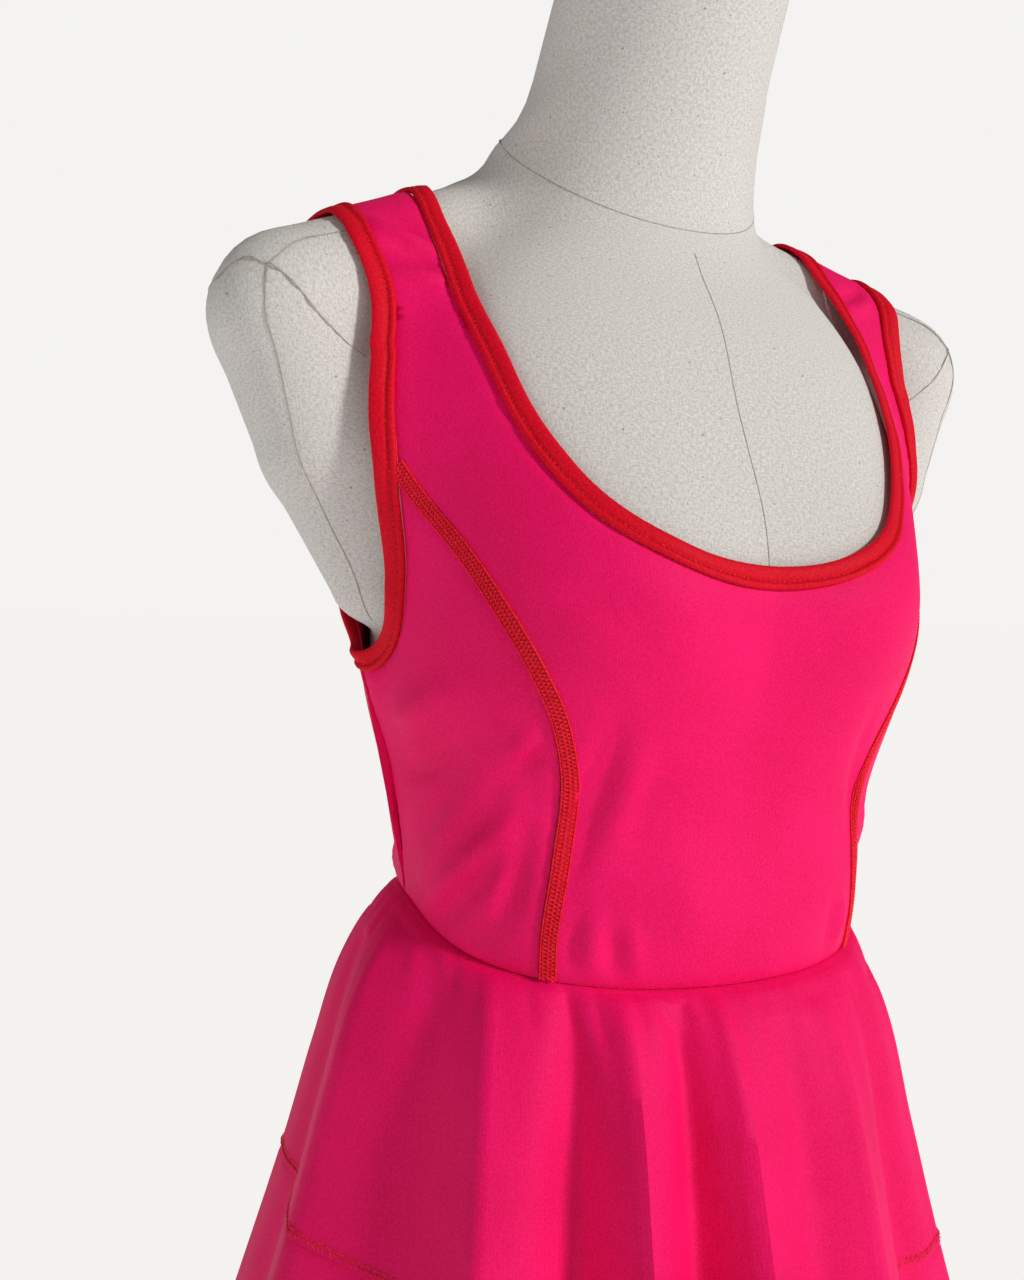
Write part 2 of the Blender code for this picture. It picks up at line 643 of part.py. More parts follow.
def skirt_panel(name, span, drops, material):
    """A skirt tier between two side seams, in rows of distance below the waist seam."""
    gap = SEAM_GAP / 2
    across = np.linspace(span[0] + gap, span[1] - gap, SKIRT_COLUMNS)
    grid, drop = np.meshgrid(across, drops)
    inner = skirt_point(grid, drop)
    step = 0.5
    round_ring = skirt_point(grid + step, drop) - skirt_point(grid - step, drop)
    down = skirt_point(grid, drop + step) - skirt_point(grid, drop - step)
    normal = np.cross(down, round_ring)
    if drops[0] < SKIRT_LENGTH / 2:
        normal[0, :, 2] = 0      # the edge at the waist seam stays level
    normal /= np.linalg.norm(normal, axis=-1, keepdims=True)
    outer = inner + SKIRT_WALL * normal
    index = np.arange(drop.size).reshape(drop.shape)
    triangles = []
    for i in range(len(drops) - 1):
        for k in range(SKIRT_COLUMNS - 1):
            a, b, c, d = index[i, k], index[i + 1, k], index[i + 1, k + 1], index[i, k + 1]
            triangles += [(a, b, c), (a, c, d)]
    border = np.concatenate([index[:, 0], index[-1, 1:], index[-2::-1, -1], index[0, -2:0:-1]])
    points, faces = closed_wall(inner.reshape(-1, 3), outer.reshape(-1, 3), np.array(triangles), border)
    return add_object(name, points, faces, material)


def skirt(material):
    spans = {"front": (-SIDE_SEAM, SIDE_SEAM), "back": (SIDE_SEAM, 4 * HALF_PATTERN - SIDE_SEAM)}
    tier_seam = SKIRT_LENGTH
    hem = SKIRT_LENGTH + FLOUNCE_LENGTH
    for word, span in spans.items():
        skirt_panel(f"skirt_{word}", span, np.linspace(SEAM_GAP, tier_seam - SEAM_GAP / 2, SKIRT_ROWS), material)
        skirt_panel(f"flounce_{word}", span, np.linspace(tier_seam + SEAM_GAP / 2, hem, FLOUNCE_ROWS), material)


# ---------------------------------------------------------------- form and stand
def even_out(rings):
    """Spread the points of closed rings evenly over the form, first and last ring kept."""
    for _ in range(FORM_EVENING):
        beside = np.roll(rings, 1, axis=1) + np.roll(rings, -1, axis=1)
        middle = (beside[1:-1] + rings[:-2] + rings[2:]) / 4
        moved = (rings[1:-1] + middle) / 2
        for _ in range(2):
            moved = moved - form_field(moved)[..., None] * field_normal(moved, FORM_SKIN)
        rings[1:-1] = moved
    return rings


def form(material):
    """Torso, shoulder caps and neck as one smooth closed solid."""
    across = np.linspace(-2 * HALF_PATTERN, 2 * HALF_PATTERN, FORM_COLUMNS, endpoint=False)
    levels = np.array(FORM_LEVELS, float)
    rings = form_point(ring_angle(across)[None, :], levels[:, None])
    points = even_out(rings).reshape(-1, 3)
    faces = []
    for row in range(len(levels) - 1):
        for k in range(FORM_COLUMNS):
            a, b = row * FORM_COLUMNS + k, row * FORM_COLUMNS + (k + 1) % FORM_COLUMNS
            faces.append((a, b, b + FORM_COLUMNS, a + FORM_COLUMNS))
    faces.append(range(FORM_COLUMNS - 1, -1, -1))
    faces.append(range((len(levels) - 1) * FORM_COLUMNS, len(levels) * FORM_COLUMNS))
    add_object("form_body", points, faces, material)


def stand(material):
    form_floor = WAIST_HEIGHT + FORM_BOTTOM
    collar_top = form_floor - REST_GAP
    collar_foot = collar_top - COLLAR_HEIGHT
    turned("stand_collar", (
        (COLLAR_NECK, collar_foot), (COLLAR_NECK, collar_top - 8), (COLLAR_RADIUS - 2, collar_top - 6),
        (COLLAR_RADIUS, collar_top - 4), (COLLAR_RADIUS, collar_top)), 40, material)
    turned("stand_pole", (
        (POLE_RADIUS, HUB_HEIGHT + REST_GAP), (POLE_RADIUS, collar_foot - REST_GAP)), 32, material)
    turned("stand_base", (
        (BASE_RADIUS - 2, 0), (BASE_RADIUS, 2), (BASE_RADIUS, BASE_THICKNESS - 2),
        (BASE_RADIUS - 3, BASE_THICKNESS), (HUB_RADIUS + 20, BASE_THICKNESS + 3), (HUB_RADIUS + 6, BASE_THICKNESS + 7),
        (HUB_RADIUS, BASE_THICKNESS + 14), (HUB_RADIUS, HUB_HEIGHT - 2), (HUB_RADIUS - 2, HUB_HEIGHT)), 56, material)


def main():
    for obj in list(bpy.data.objects):
        bpy.data.objects.remove(obj, do_unlink=True)
    pink = make_material("pink_stretch_jersey", (0.82, 0.02, 0.13), 0.55)
    red = make_material("red_binding", (0.68, 0.01, 0.02), 0.5)
    linen = make_material("natural_linen", (0.62, 0.6, 0.55), 0.85)
    steel = make_material("brushed_steel", (0.5, 0.5, 0.5), 0.35, 1.0)
    lines = design_lines()
    bodice(lines, pink)
    bindings(lines, red)
    skirt(pink)
    form(linen)
    stand(steel)


main()
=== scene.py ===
# %% [markdown]
# # A scoop-neck athletic dress on a limbless dress form
# The dress is cut from one stretch jersey: a bodice with princess seams, a flared
# skirt and a second tier sewn under it.  A red band binds the neck and armholes.
# It hangs on a linen form.  Every length below is in millimetres about the centre
# of the waist, front towards -Y and the wearer's left towards +X; `place` turns
# them into metres above the floor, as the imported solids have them.

# %% Load the solids
import math

import bmesh
import bpy
import numpy as np
from mathutils import Matrix, Vector
from mathutils.geometry import delaunay_2d_cdt
from mathutils.kdtree import KDTree


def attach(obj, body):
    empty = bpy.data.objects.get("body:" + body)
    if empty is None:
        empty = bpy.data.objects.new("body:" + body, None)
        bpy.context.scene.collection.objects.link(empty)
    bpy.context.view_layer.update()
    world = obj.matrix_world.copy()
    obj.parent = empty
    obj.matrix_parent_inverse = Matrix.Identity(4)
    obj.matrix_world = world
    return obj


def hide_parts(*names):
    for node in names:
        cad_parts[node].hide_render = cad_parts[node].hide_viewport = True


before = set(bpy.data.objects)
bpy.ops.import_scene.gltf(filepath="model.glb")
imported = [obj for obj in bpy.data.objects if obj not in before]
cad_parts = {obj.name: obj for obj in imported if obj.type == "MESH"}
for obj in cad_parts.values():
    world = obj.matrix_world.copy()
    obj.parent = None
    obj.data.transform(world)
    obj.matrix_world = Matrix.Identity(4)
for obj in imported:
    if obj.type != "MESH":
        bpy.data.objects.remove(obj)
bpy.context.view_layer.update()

WAIST_HEIGHT = 1040.0
print("solids:", ", ".join(sorted(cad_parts)))

# %% [markdown]
# ## The shape of the form
# A dress form is a padded shell: an oval trunk with two round shoulder caps and a
# tall neck.  The trunk is read from a table of levels.  The caps and neck are
# chains of balls, and all three run softly into each other.  Writing this as one
# field, which says how far any point is outside the form, gives the form, the
# cloth that lies on it and every seam from the same numbers.

# %% Tables of the form
# height, half width, front depth, back depth, centre towards the back, squareness
TRUNK_SECTIONS = (
    (-280, 121, 84, 96, 6, 2.25),
    (-230, 128, 88, 102, 8, 2.25),
    (-180, 127, 89, 104, 10, 2.25),
    (-110, 118, 85, 98, 8, 2.2),
    (-50, 108, 84, 87, 2, 2.2),
    (0, 107, 95, 81, 0, 2.2),
    (50, 113, 96, 85, 2, 2.25),
    (100, 123, 108, 92, 4, 2.35),
    (145, 124, 117, 97, 6, 2.45),
    (200, 131, 104, 100, 8, 2.5),
    (250, 122, 84, 98, 10, 2.4),
    (290, 98, 66, 88, 16, 2.3),
    (320, 65, 57, 74, 28, 2.1),
    (350, 53, 50, 56, 28, 2.0),
)
TRUNK_TOP = 345.0
BUST = {"x": 62.0, "z": 132.0, "half_width": 46.0, "half_height": 48.0,
        "depth": 12.0, "fade": 60.0}
# balls of a limb: x, y, height, radius
SHOULDER_CAP = (
    (70, 42, 300, 37.5), (165, 17, 260.5, 37.5), (150, 12, 203, 30.5), (134, 7, 143, 14.5),
)
NECK = ((0, 19.5, 333, 57), (0, -67, 500, 48.5))
# how softly the caps run into the trunk: height, on the form, under the cloth
SHOULDER_BLENDS = ((110, 20, 20), (190, 36, 52), (255, 32, 52), (310, 20, 40))
FORM_SKIN, CLOTH_SKIN = 1, 2          # columns of SHOULDER_BLENDS
LIMB_BLEND, NECK_BLEND = 3.0, 39.0
PROBE = 0.5                           # mm between the points that a slope is measured from


def unit(vectors):
    return vectors / np.linalg.norm(vectors, axis=-1, keepdims=True)


def bell(x, middle, width):
    """A soft hump, 1 at its middle."""
    return np.exp(-((x - middle) / width) ** 2)


# %% A smooth curve through a table
def smooth_table(table, column, x):
    """Smooth curve through one column of a table, read at x."""
    xs = np.array([row[0] for row in table], float)
    ys = np.array([row[column] for row in table], float)
    secants = np.diff(ys) / np.diff(xs)
    slopes = np.empty_like(ys)
    slopes[1:-1] = (secants[:-1] + secants[1:]) / 2
    slopes[0], slopes[-1] = secants[0], secants[-1]
    x = np.clip(np.asarray(x, float), xs[0], xs[-1])
    i = np.clip(np.searchsorted(xs, x) - 1, 0, len(xs) - 2)
    step = xs[i + 1] - xs[i]
    t = (x - xs[i]) / step
    return ((1 + 2 * t) * (1 - t) ** 2 * ys[i] + t * (1 - t) ** 2 * step * slopes[i]
            + t * t * (3 - 2 * t) * ys[i + 1] + t * t * (t - 1) * step * slopes[i + 1])


print("half width of the waist:", smooth_table(TRUNK_SECTIONS, 1, 0.0))


# %% The field
def soft_union(a, b, blend):
    h = np.clip(0.5 + 0.5 * (b - a) / blend, 0, 1)
    return b * (1 - h) + a * h - blend * h * (1 - h)


def limb(points, balls):
    """Field of a chain of balls joined by straight tapers."""
    field = None
    for (*start, start_radius), (*end, end_radius) in zip(balls[:-1], balls[1:]):
        start = np.array(start)
        axis = np.array(end) - start
        t = np.clip((points - start) @ axis / (axis @ axis), 0, 1)
        radius = start_radius + (end_radius - start_radius) * t
        taper = np.linalg.norm(points - start - t[..., None] * axis, axis=-1) - radius
        field = taper if field is None else soft_union(field, taper, LIMB_BLEND)
    return field


def form_field(points, skin=FORM_SKIN):
    """About the distance outside the form; negative inside it."""
    x, y, z = np.abs(points[..., 0]), points[..., 1], points[..., 2]
    mirrored = np.stack([x, y, z], axis=-1)
    half, front, back, centre, power = (smooth_table(TRUNK_SECTIONS, k, z) for k in range(1, 6))
    depth = np.where(y < centre, front, back)
    radial = ((x / half) ** power + (np.abs(y - centre) / depth) ** power) ** (1 / power) + 1e-9
    trunk = np.hypot(x, y - centre) * (1 - 1 / radial)
    bust = BUST["depth"] * np.exp(-((x - BUST["x"]) / BUST["half_width"]) ** 2
                                  - ((z - BUST["z"]) / BUST["half_height"]) ** 2)
    bust = bust * np.clip((centre - y) / BUST["fade"], 0, 1)
    trunk = np.maximum(trunk - bust, z - TRUNK_TOP)
    body = soft_union(trunk, limb(mirrored, SHOULDER_CAP), smooth_table(SHOULDER_BLENDS, skin, z))
    return soft_union(body, limb(mirrored, NECK), NECK_BLEND)


def field_normal(points, skin=CLOTH_SKIN):
    """Unit vectors straight out of the form or the cloth."""
    slope = [form_field(points + step, skin) - form_field(points - step, skin)
             for step in PROBE * np.eye(3)]
    return unit(np.stack(slope, axis=-1))


print("field 50 mm in front of the waist:", round(float(form_field(np.array([0, -145, 0]))), 1))

# %% [markdown]
# ## From the flat pattern to the body
# A cutter draws a bodice flat.  Here a flat point is (across, level): how far round
# the body from the centre front, and which ring it lies on.  Rings are level up to
# the chest, then fan over the shoulders and close in on the neck, so that a strap
# has its own place on the pattern.  A ray from each ring's middle finds the body.

# %% Rings and rays
CHEST_LEVEL, FAN_RADIUS = 240.0, 100.0
NECK_ROOT_LEVEL, NECK_LEVEL = 336.0, 400.0
NECK_LEAN = math.radians(27.0)
NECK_ROOT_HEIGHT = 338.0
TRUNK_CENTRE_Y, NECK_CENTRE_Y = 6.0, 16.0
# level, half length of the line that the ring's rays start from
RING_SPREAD = (
    (-280, 70), (-25, 70), (60, 92), (120, 108), (190, 125), (240, 125), (300, 45), (336, 25),
    (400, 0),
)
PATTERN_WIDTH, PATTERN_PER_DEGREE = 110.0, 0.7
HALF_PATTERN = PATTERN_WIDTH + 90 * PATTERN_PER_DEGREE
ROUND = 4 * HALF_PATTERN              # once round the body
RAY_LENGTH, RAY_SAMPLES, RAY_HALVINGS = 230.0, 60, 16


def ring_slide(angle):
    return np.tanh(2 * np.sin(np.radians(angle))) / math.tanh(2)


def pattern_across(angle):
    angle = np.asarray(angle, float)
    folded = np.where(np.abs(angle) > 90, np.sign(angle) * 180 - angle, angle)
    across = PATTERN_WIDTH * ring_slide(folded) + PATTERN_PER_DEGREE * folded
    return np.where(np.abs(angle) > 90, np.sign(angle) * 2 * HALF_PATTERN - across, across)


def wrapped(across):
    return (across + ROUND / 2) % ROUND - ROUND / 2


def ring_angle(across):
    angles = np.linspace(-180, 180, 1441)      # a point each quarter of a degree
    return np.interp(wrapped(np.asarray(across, float)), pattern_across(angles), angles)


def ring_rays(angle, level):
    """Start and direction of the ray of each angle (degrees) on each ring."""
    angle, level = np.broadcast_arrays(np.radians(np.asarray(angle, float)),
                                       np.asarray(level, float))
    closing = np.clip((level - NECK_ROOT_LEVEL) / (NECK_LEVEL - NECK_ROOT_LEVEL), 0, 1)
    above = np.clip(level - NECK_LEVEL, 0, None)
    widest_fan = (NECK_ROOT_LEVEL - CHEST_LEVEL) / FAN_RADIUS
    fan = np.clip((level - CHEST_LEVEL) / FAN_RADIUS, 0, widest_fan) * (1 - closing)
    lean = NECK_LEAN * closing
    centre_z = (np.minimum(level, CHEST_LEVEL) + closing * (NECK_ROOT_HEIGHT - CHEST_LEVEL)
                + above * math.cos(NECK_LEAN))
    centre_y = (TRUNK_CENTRE_Y + closing * (NECK_CENTRE_Y - TRUNK_CENTRE_Y)
                - above * math.sin(NECK_LEAN))
    start_x = smooth_table(RING_SPREAD, 1, level) * ring_slide(np.degrees(angle))
    forward = np.cos(angle) * np.cos(fan)
    direction = np.stack([np.sin(angle) * np.cos(fan),
                          -forward * np.cos(lean) - np.sin(fan) * np.sin(lean),
                          -forward * np.sin(lean) + np.sin(fan) * np.cos(lean)], axis=-1)
    return np.stack([start_x, centre_y, centre_z], axis=-1), direction


def form_point(angle, level, clear=0.0, skin=FORM_SKIN):
    """Point of each ring's ray that lies `clear` outside the form."""
    start, direction = ring_rays(angle, level)
    clear = np.broadcast_to(clear, start.shape[:-1])
    reach = np.linspace(RAY_LENGTH, 0, RAY_SAMPLES)
    samples = start[..., None, :] + reach[:, None] * direction[..., None, :]
    inside = form_field(samples, skin) < clear[..., None]
    first = np.clip(np.argmax(inside, axis=-1), 1, len(reach) - 1)
    outer, inner = reach[first - 1], reach[first]
    for _ in range(RAY_HALVINGS):
        middle = (outer + inner) / 2
        hit = form_field(start + middle[..., None] * direction, skin) < clear
        inner = np.where(hit, middle, inner)
        outer = np.where(hit, outer, middle)
    return start + middle[..., None] * direction


print("once round the pattern:", ROUND, "mm")

# %% [markdown]
# ## Where the cloth lies
# The jersey lies 3 mm off the form, stands further out under the arms, and is
# seated on the shoulders, from which it hangs.

# %% Ease of the bodice
EASE = 3.0
# under the arms: depth, then the angle and level of its middle, and half its width and height
ARMHOLE_STAND_OFF = 7.0
STAND_OFF_ANGLE, STAND_OFF_LEVEL, STAND_OFF_WIDTH, STAND_OFF_HEIGHT = 92.0, 116.0, 26.0, 30.0
STRAP_SEAT, STRAP_SEAT_LEVEL, STRAP_SEAT_HEIGHT = 2.0, 308.0, 22.0
CLOTH_IN, CLOTH_OUT = 0.5, 1.5        # the cloth's two faces, above the solid's inner face


def cloth_clearance(angle, level):
    side = bell(np.abs(angle), STAND_OFF_ANGLE, STAND_OFF_WIDTH)
    underarm = bell(level, STAND_OFF_LEVEL, STAND_OFF_HEIGHT)
    shoulder = bell(level, STRAP_SEAT_LEVEL, STRAP_SEAT_HEIGHT)
    return EASE + ARMHOLE_STAND_OFF * side * underarm - STRAP_SEAT * shoulder


def bodice_base(flat):
    """Inside face of the bodice at each (across, level), and its outward normal."""
    angle = ring_angle(flat[:, 0])
    inner = form_point(angle, flat[:, 1], cloth_clearance(angle, flat[:, 1]), CLOTH_SKIN)
    return inner, field_normal(inner)


def place(points):
    """Millimetres about the waist to metres above the floor."""
    return (np.asarray(points, float) + (0, 0, WAIST_HEIGHT)) / 1000


print("clear under the arms:",
      round(float(cloth_clearance(STAND_OFF_ANGLE, STAND_OFF_LEVEL)), 1), "mm")

# %% [markdown]
# ## Node trees without the tedium
# Every finish is built from Blender's shader nodes.  One helper adds a node, sets
# its values and links its inputs, so that a material reads like a short recipe:
# where the pattern is read, a noise or two, a colour ramp and a bump.  Colours are
# written as the hex values an artist would pick on screen, and one function turns
# them into the linear values that a shader needs.

# %% Helpers for materials
def linear(hex_colour):
    """sRGB hex to linear RGBA."""
    values = [int(hex_colour[k:k + 2], 16) / 255 for k in (1, 3, 5)]
    return (*[v / 12.92 if v <= 0.04045 else ((v + 0.055) / 1.055) ** 2.4 for v in values], 1.0)


def add_node(tree, kind, settings=None, inputs=None, stops=()):
    """Add a node; an input is a value, or an output socket to link from.
    Stops are the (position, hex colour) pairs of a colour ramp."""
    node = tree.nodes.new(kind)
    for name, value in (settings or {}).items():
        setattr(node, name, value)
    for name, value in (inputs or {}).items():
        socket = node.inputs[name]
        if isinstance(value, bpy.types.NodeSocket):
            tree.links.new(value, socket)
        else:
            socket.default_value = value
    if stops:
        elements = node.color_ramp.elements
        while len(elements) < len(stops):
            elements.new(0.5)
        for element, (position, colour) in zip(elements, stops):
            element.position = position
            element.color = linear(colour)
    return node


def new_material(name, **shader_values):
    material = bpy.data.materials.new(name)
    material.use_nodes = True
    shader = material.node_tree.nodes["Principled BSDF"]
    for key, value in shader_values.items():
        shader.inputs[key.replace("_", " ")].default_value = value
    return material, material.node_tree, shader


print("mid grey is", round(linear("#808080")[0], 3), "of white")

# %% [markdown]
# ## Pink stretch jersey
# Polyester jersey with elastane: a knit so fine that the eye sees a soft, almost
# matt face with a faint heathered speckle.  Its wales stand about 0.4 mm apart,
# too fine to show here, so they are drawn at 0.9 mm.  They read the cloth's own
# flat sizes, kept as a UV map in metres; the speckle reads the object's coordinates.

# %% Jersey
JERSEY_SPECKLE, JERSEY_CLOUD, JERSEY_WALE = 0.0009, 0.045, 0.0009      # metres


def make_jersey():
    material, tree, shader = new_material(
        "pink_polyester_jersey", Roughness=0.68, Specular_IOR_Level=0.18)
    uv = add_node(tree, "ShaderNodeUVMap", {"uv_map": "flat"}).outputs["UV"]
    where = add_node(tree, "ShaderNodeTexCoord").outputs["Object"]
    speckle = add_node(tree, "ShaderNodeTexNoise", inputs={
        "Vector": where, "Scale": 1 / JERSEY_SPECKLE, "Detail": 2.0, "Roughness": 0.6})
    cloudy = add_node(tree, "ShaderNodeTexNoise", {"noise_dimensions": "2D"}, {
        "Vector": uv, "Scale": 1 / JERSEY_CLOUD, "Detail": 2.0})
    mixed = add_node(tree, "ShaderNodeMath", {"operation": "MULTIPLY_ADD"}, {
        0: cloudy.outputs["Fac"], 1: 0.35, 2: speckle.outputs["Fac"]})
    colour = add_node(tree, "ShaderNodeValToRGB", inputs={"Fac": mixed.outputs["Value"]}, stops=(
        (0.45, "#E40058"), (0.67, "#F40466"), (0.9, "#FF0E70")))
    tree.links.new(colour.outputs["Color"], shader.inputs["Base Color"])
    wales = add_node(tree, "ShaderNodeTexWave", {"wave_type": "BANDS", "bands_direction": "X"}, {
        "Vector": uv, "Scale": math.pi / 10 / JERSEY_WALE, "Distortion": 2.0, "Detail": 2.0,
        "Detail Scale": 2.0})
    height = add_node(tree, "ShaderNodeMath", {"operation": "MULTIPLY_ADD"}, {
        0: speckle.outputs["Fac"], 1: 1.4, 2: wales.outputs["Fac"]})
    bump = add_node(tree, "ShaderNodeBump", inputs={
        "Height": height.outputs["Value"], "Strength": 0.3, "Distance": 0.0001})
    tree.links.new(bump.outputs["Normal"], shader.inputs["Normal"])
    return material


JERSEY = make_jersey()
print("jersey nodes:", len(JERSEY.node_tree.nodes))

# %% [markdown]
# ## Red binding and red thread
# The binding is a strip of the same kind of knit, folded over the edge and a
# little smoother than the dress.  The thread is spun polyester; its lighter orange
# red is a painted highlight for light catching its loops, laid at random by a noise.

# %% Binding and thread
KNIT_FIBRE, THREAD_TWIST_AND_HIGHLIGHT = 0.0013, 0.0011        # metres


def make_binding():
    material, tree, shader = new_material(
        "red_folded_knit", Roughness=0.65, Specular_IOR_Level=0.14)
    uv = add_node(tree, "ShaderNodeUVMap", {"uv_map": "flat"}).outputs["UV"]
    fibre = add_node(tree, "ShaderNodeTexNoise", {"noise_dimensions": "2D"}, {
        "Vector": uv, "Scale": 1 / KNIT_FIBRE, "Detail": 3.0, "Roughness": 0.65})
    colour = add_node(tree, "ShaderNodeValToRGB", inputs={"Fac": fibre.outputs["Fac"]}, stops=(
        (0.35, "#CC001C"), (0.55, "#E00226"), (0.75, "#EE0A32")))
    tree.links.new(colour.outputs["Color"], shader.inputs["Base Color"])
    bump = add_node(tree, "ShaderNodeBump", inputs={
        "Height": fibre.outputs["Fac"], "Strength": 0.3, "Distance": 0.00012})
    tree.links.new(bump.outputs["Normal"], shader.inputs["Normal"])
    return material


def make_thread(name, dark, light):
    material, tree, shader = new_material(name, Roughness=0.6, Specular_IOR_Level=0.16)
    where = add_node(tree, "ShaderNodeTexCoord").outputs["Object"]
    twist_and_highlight = add_node(tree, "ShaderNodeTexNoise", inputs={
        "Vector": where, "Scale": 1 / THREAD_TWIST_AND_HIGHLIGHT, "Detail": 2.0})
    # the lighter stop is thread tone, and on the red threads also a painted highlight
    colour = add_node(tree, "ShaderNodeValToRGB", inputs={"Fac": twist_and_highlight.outputs["Fac"]}, stops=(
        (0.35, dark), (0.68, light)))
    tree.links.new(colour.outputs["Color"], shader.inputs["Base Color"])
    return material


BINDING = make_binding()
THREAD = make_thread("red_polyester_thread", "#CC1216", "#F4443A")
SEAM_THREAD = make_thread("coverstitch_thread", "#EC0A28", "#FF2E44")
SEAM_RIBBON = make_thread("coverstitch_looper_thread", "#BC0424", "#D80A2E")
print("red:", [m.name for m in (BINDING, THREAD, SEAM_THREAD, SEAM_RIBBON)])

# %% [markdown]
# ## Linen
# Natural linen is woven from uneven flax: pale grey-beige, with thick and thin
# threads and a few dark specks.  Warp and weft are two drawn-out noises of about
# 0.8 mm, somewhat coarser than the real threads, so that they show at all.

# %% Linen, steel and seam thread
FLAX_THREAD, FLAX_SPECK, STEEL_GRAIN = 0.0008, 0.0021, 0.012        # metres


def make_linen():
    material, tree, shader = new_material(
        "natural_linen_cover", Roughness=0.9, Specular_IOR_Level=0.2)
    where = add_node(tree, "ShaderNodeUVMap", {"uv_map": "flat"}).outputs["UV"]
    threads = []
    for stretch in ((1.0, 0.4, 1.0), (0.4, 1.0, 1.0)):        # warp, then weft
        drawn = add_node(tree, "ShaderNodeMapping", inputs={"Vector": where, "Scale": stretch})
        threads.append(add_node(tree, "ShaderNodeTexNoise", {"noise_dimensions": "2D"}, {
            "Vector": drawn.outputs["Vector"], "Scale": 1 / FLAX_THREAD, "Detail": 1.0,
            "Roughness": 0.6}))
    both = add_node(tree, "ShaderNodeMath", {"operation": "ADD"}, {
        0: threads[0].outputs["Fac"], 1: threads[1].outputs["Fac"]})
    weave = add_node(tree, "ShaderNodeMath", {"operation": "MULTIPLY"}, {
        0: both.outputs["Value"], 1: 0.5}).outputs["Value"]
    colour = add_node(tree, "ShaderNodeValToRGB", inputs={"Fac": weave}, stops=(
        (0.36, "#C9C5BF"), (0.5, "#D7D4D0"), (0.64, "#E2E0DE")))
    specks = add_node(tree, "ShaderNodeTexNoise", {"noise_dimensions": "2D"}, {
        "Vector": where, "Scale": 1 / FLAX_SPECK, "Detail": 0.0})
    speck = add_node(tree, "ShaderNodeMath", {"operation": "GREATER_THAN"}, {
        0: specks.outputs["Fac"], 1: 0.9})
    mix = add_node(tree, "ShaderNodeMix", {"data_type": "RGBA"}, {
        "Factor": speck.outputs["Value"], 6: colour.outputs["Color"], 7: linear("#A8977F")})
    tree.links.new(mix.outputs[2], shader.inputs["Base Color"])
    bump = add_node(tree, "ShaderNodeBump", inputs={
        "Height": weave, "Strength": 0.3, "Distance": 0.0002})
    tree.links.new(bump.outputs["Normal"], shader.inputs["Normal"])
    return material


def make_steel():
    material, tree, shader = new_material("brushed_stainless_steel", Metallic=1.0, Roughness=0.34)
    where = add_node(tree, "ShaderNodeTexCoord").outputs["Object"]
    turned = add_node(tree, "ShaderNodeMapping", inputs={
        "Vector": where, "Scale": (1.0, 1.0, 30.0)})
    grain = add_node(tree, "ShaderNodeTexNoise", inputs={
        "Vector": turned.outputs["Vector"], "Scale": 1 / STEEL_GRAIN, "Detail": 3.0})
    colour = add_node(tree, "ShaderNodeValToRGB", inputs={"Fac": grain.outputs["Fac"]}, stops=(
        (0.3, "#A9A9AA"), (0.7, "#C6C6C8")))
    tree.links.new(colour.outputs["Color"], shader.inputs["Base Color"])
    bump = add_node(tree, "ShaderNodeBump", inputs={
        "Height": grain.outputs["Fac"], "Strength": 0.15, "Distance": 0.0001})
    tree.links.new(bump.outputs["Normal"], shader.inputs["Normal"])
    return material


LINEN = make_linen()
STEEL = make_steel()
SEAM_BROWN = make_thread("flax_seam_thread", "#A0968A", "#BDB7AE")
print("materials:", [m.name for m in bpy.data.materials if m.use_nodes])

# %% [markdown]
# ## Lines of the pattern
# The same seams as the cut pieces: the neckline, the two armholes, the princess
# seams and the waist.  Each is a short table of flat points with a smooth curve
# through it.

# %% Pattern lines
WAIST_DIP_FRONT, WAIST_LEVEL_BACK, WAIST_BEND = -24.5, 4.0, 3.8
NECKLINE = (
    (0, 144), (28, 149), (53, 167), (65, 185), (74, 205), (79, 222), (85, 237), (93, 249),
    (110, 263), (137, 280), (155, 296), (170, 312), (184, 321), (208, 306), (238, 282),
    (272, 262), (305, 252), (346, 249),
)
ARMHOLE = (
    (180, 302), (171, 299), (163, 290), (147, 270), (132, 254), (120, 239), (116, 224),
    (116, 205), (117, 185), (119, 160), (124, 140), (132, 122), (145, 111), (164, 105),
    (180, 107), (194, 112), (208, 125), (224, 151), (235, 192), (237, 220), (234, 240),
    (224, 254), (208, 270), (192, 292),
)
PRINCESS = (
    (117, 185), (99, 158), (88, 132), (79, 106), (74, 85), (73, 60), (79, 32), (88, 0), (91, -18),
)
SIDE_SEAM, UNDERARM_LEVEL = 176.0, 106.0
SHOULDER_JOIN = np.array([2, 20])     # from the top of an armhole to the neck seam
LINE_STEP = 3.2                       # between the points of a fine outline
SEAM_GAP = 0.34
FAIR_ROUNDS, FAIR_PASSES = 40, 3
print("points drawn:", len(NECKLINE) + len(ARMHOLE) + len(PRINCESS))


# %% Smooth lines
def run_length(line):
    """How far along a line each of its points lies."""
    return np.concatenate([[0], np.cumsum(np.linalg.norm(np.diff(line, axis=0), axis=1))])


def even_points(line, spacing, measured=None, closed=False):
    """Points at even steps along a line, or along it as `measured` elsewhere."""
    lengths = run_length(line if measured is None else measured)
    at = np.linspace(0, lengths[-1], max(2, round(lengths[-1] / spacing) + 1))
    out = np.stack([np.interp(at, lengths, line[:, k]) for k in range(line.shape[1])], axis=-1)
    return out[:-1] if closed else out


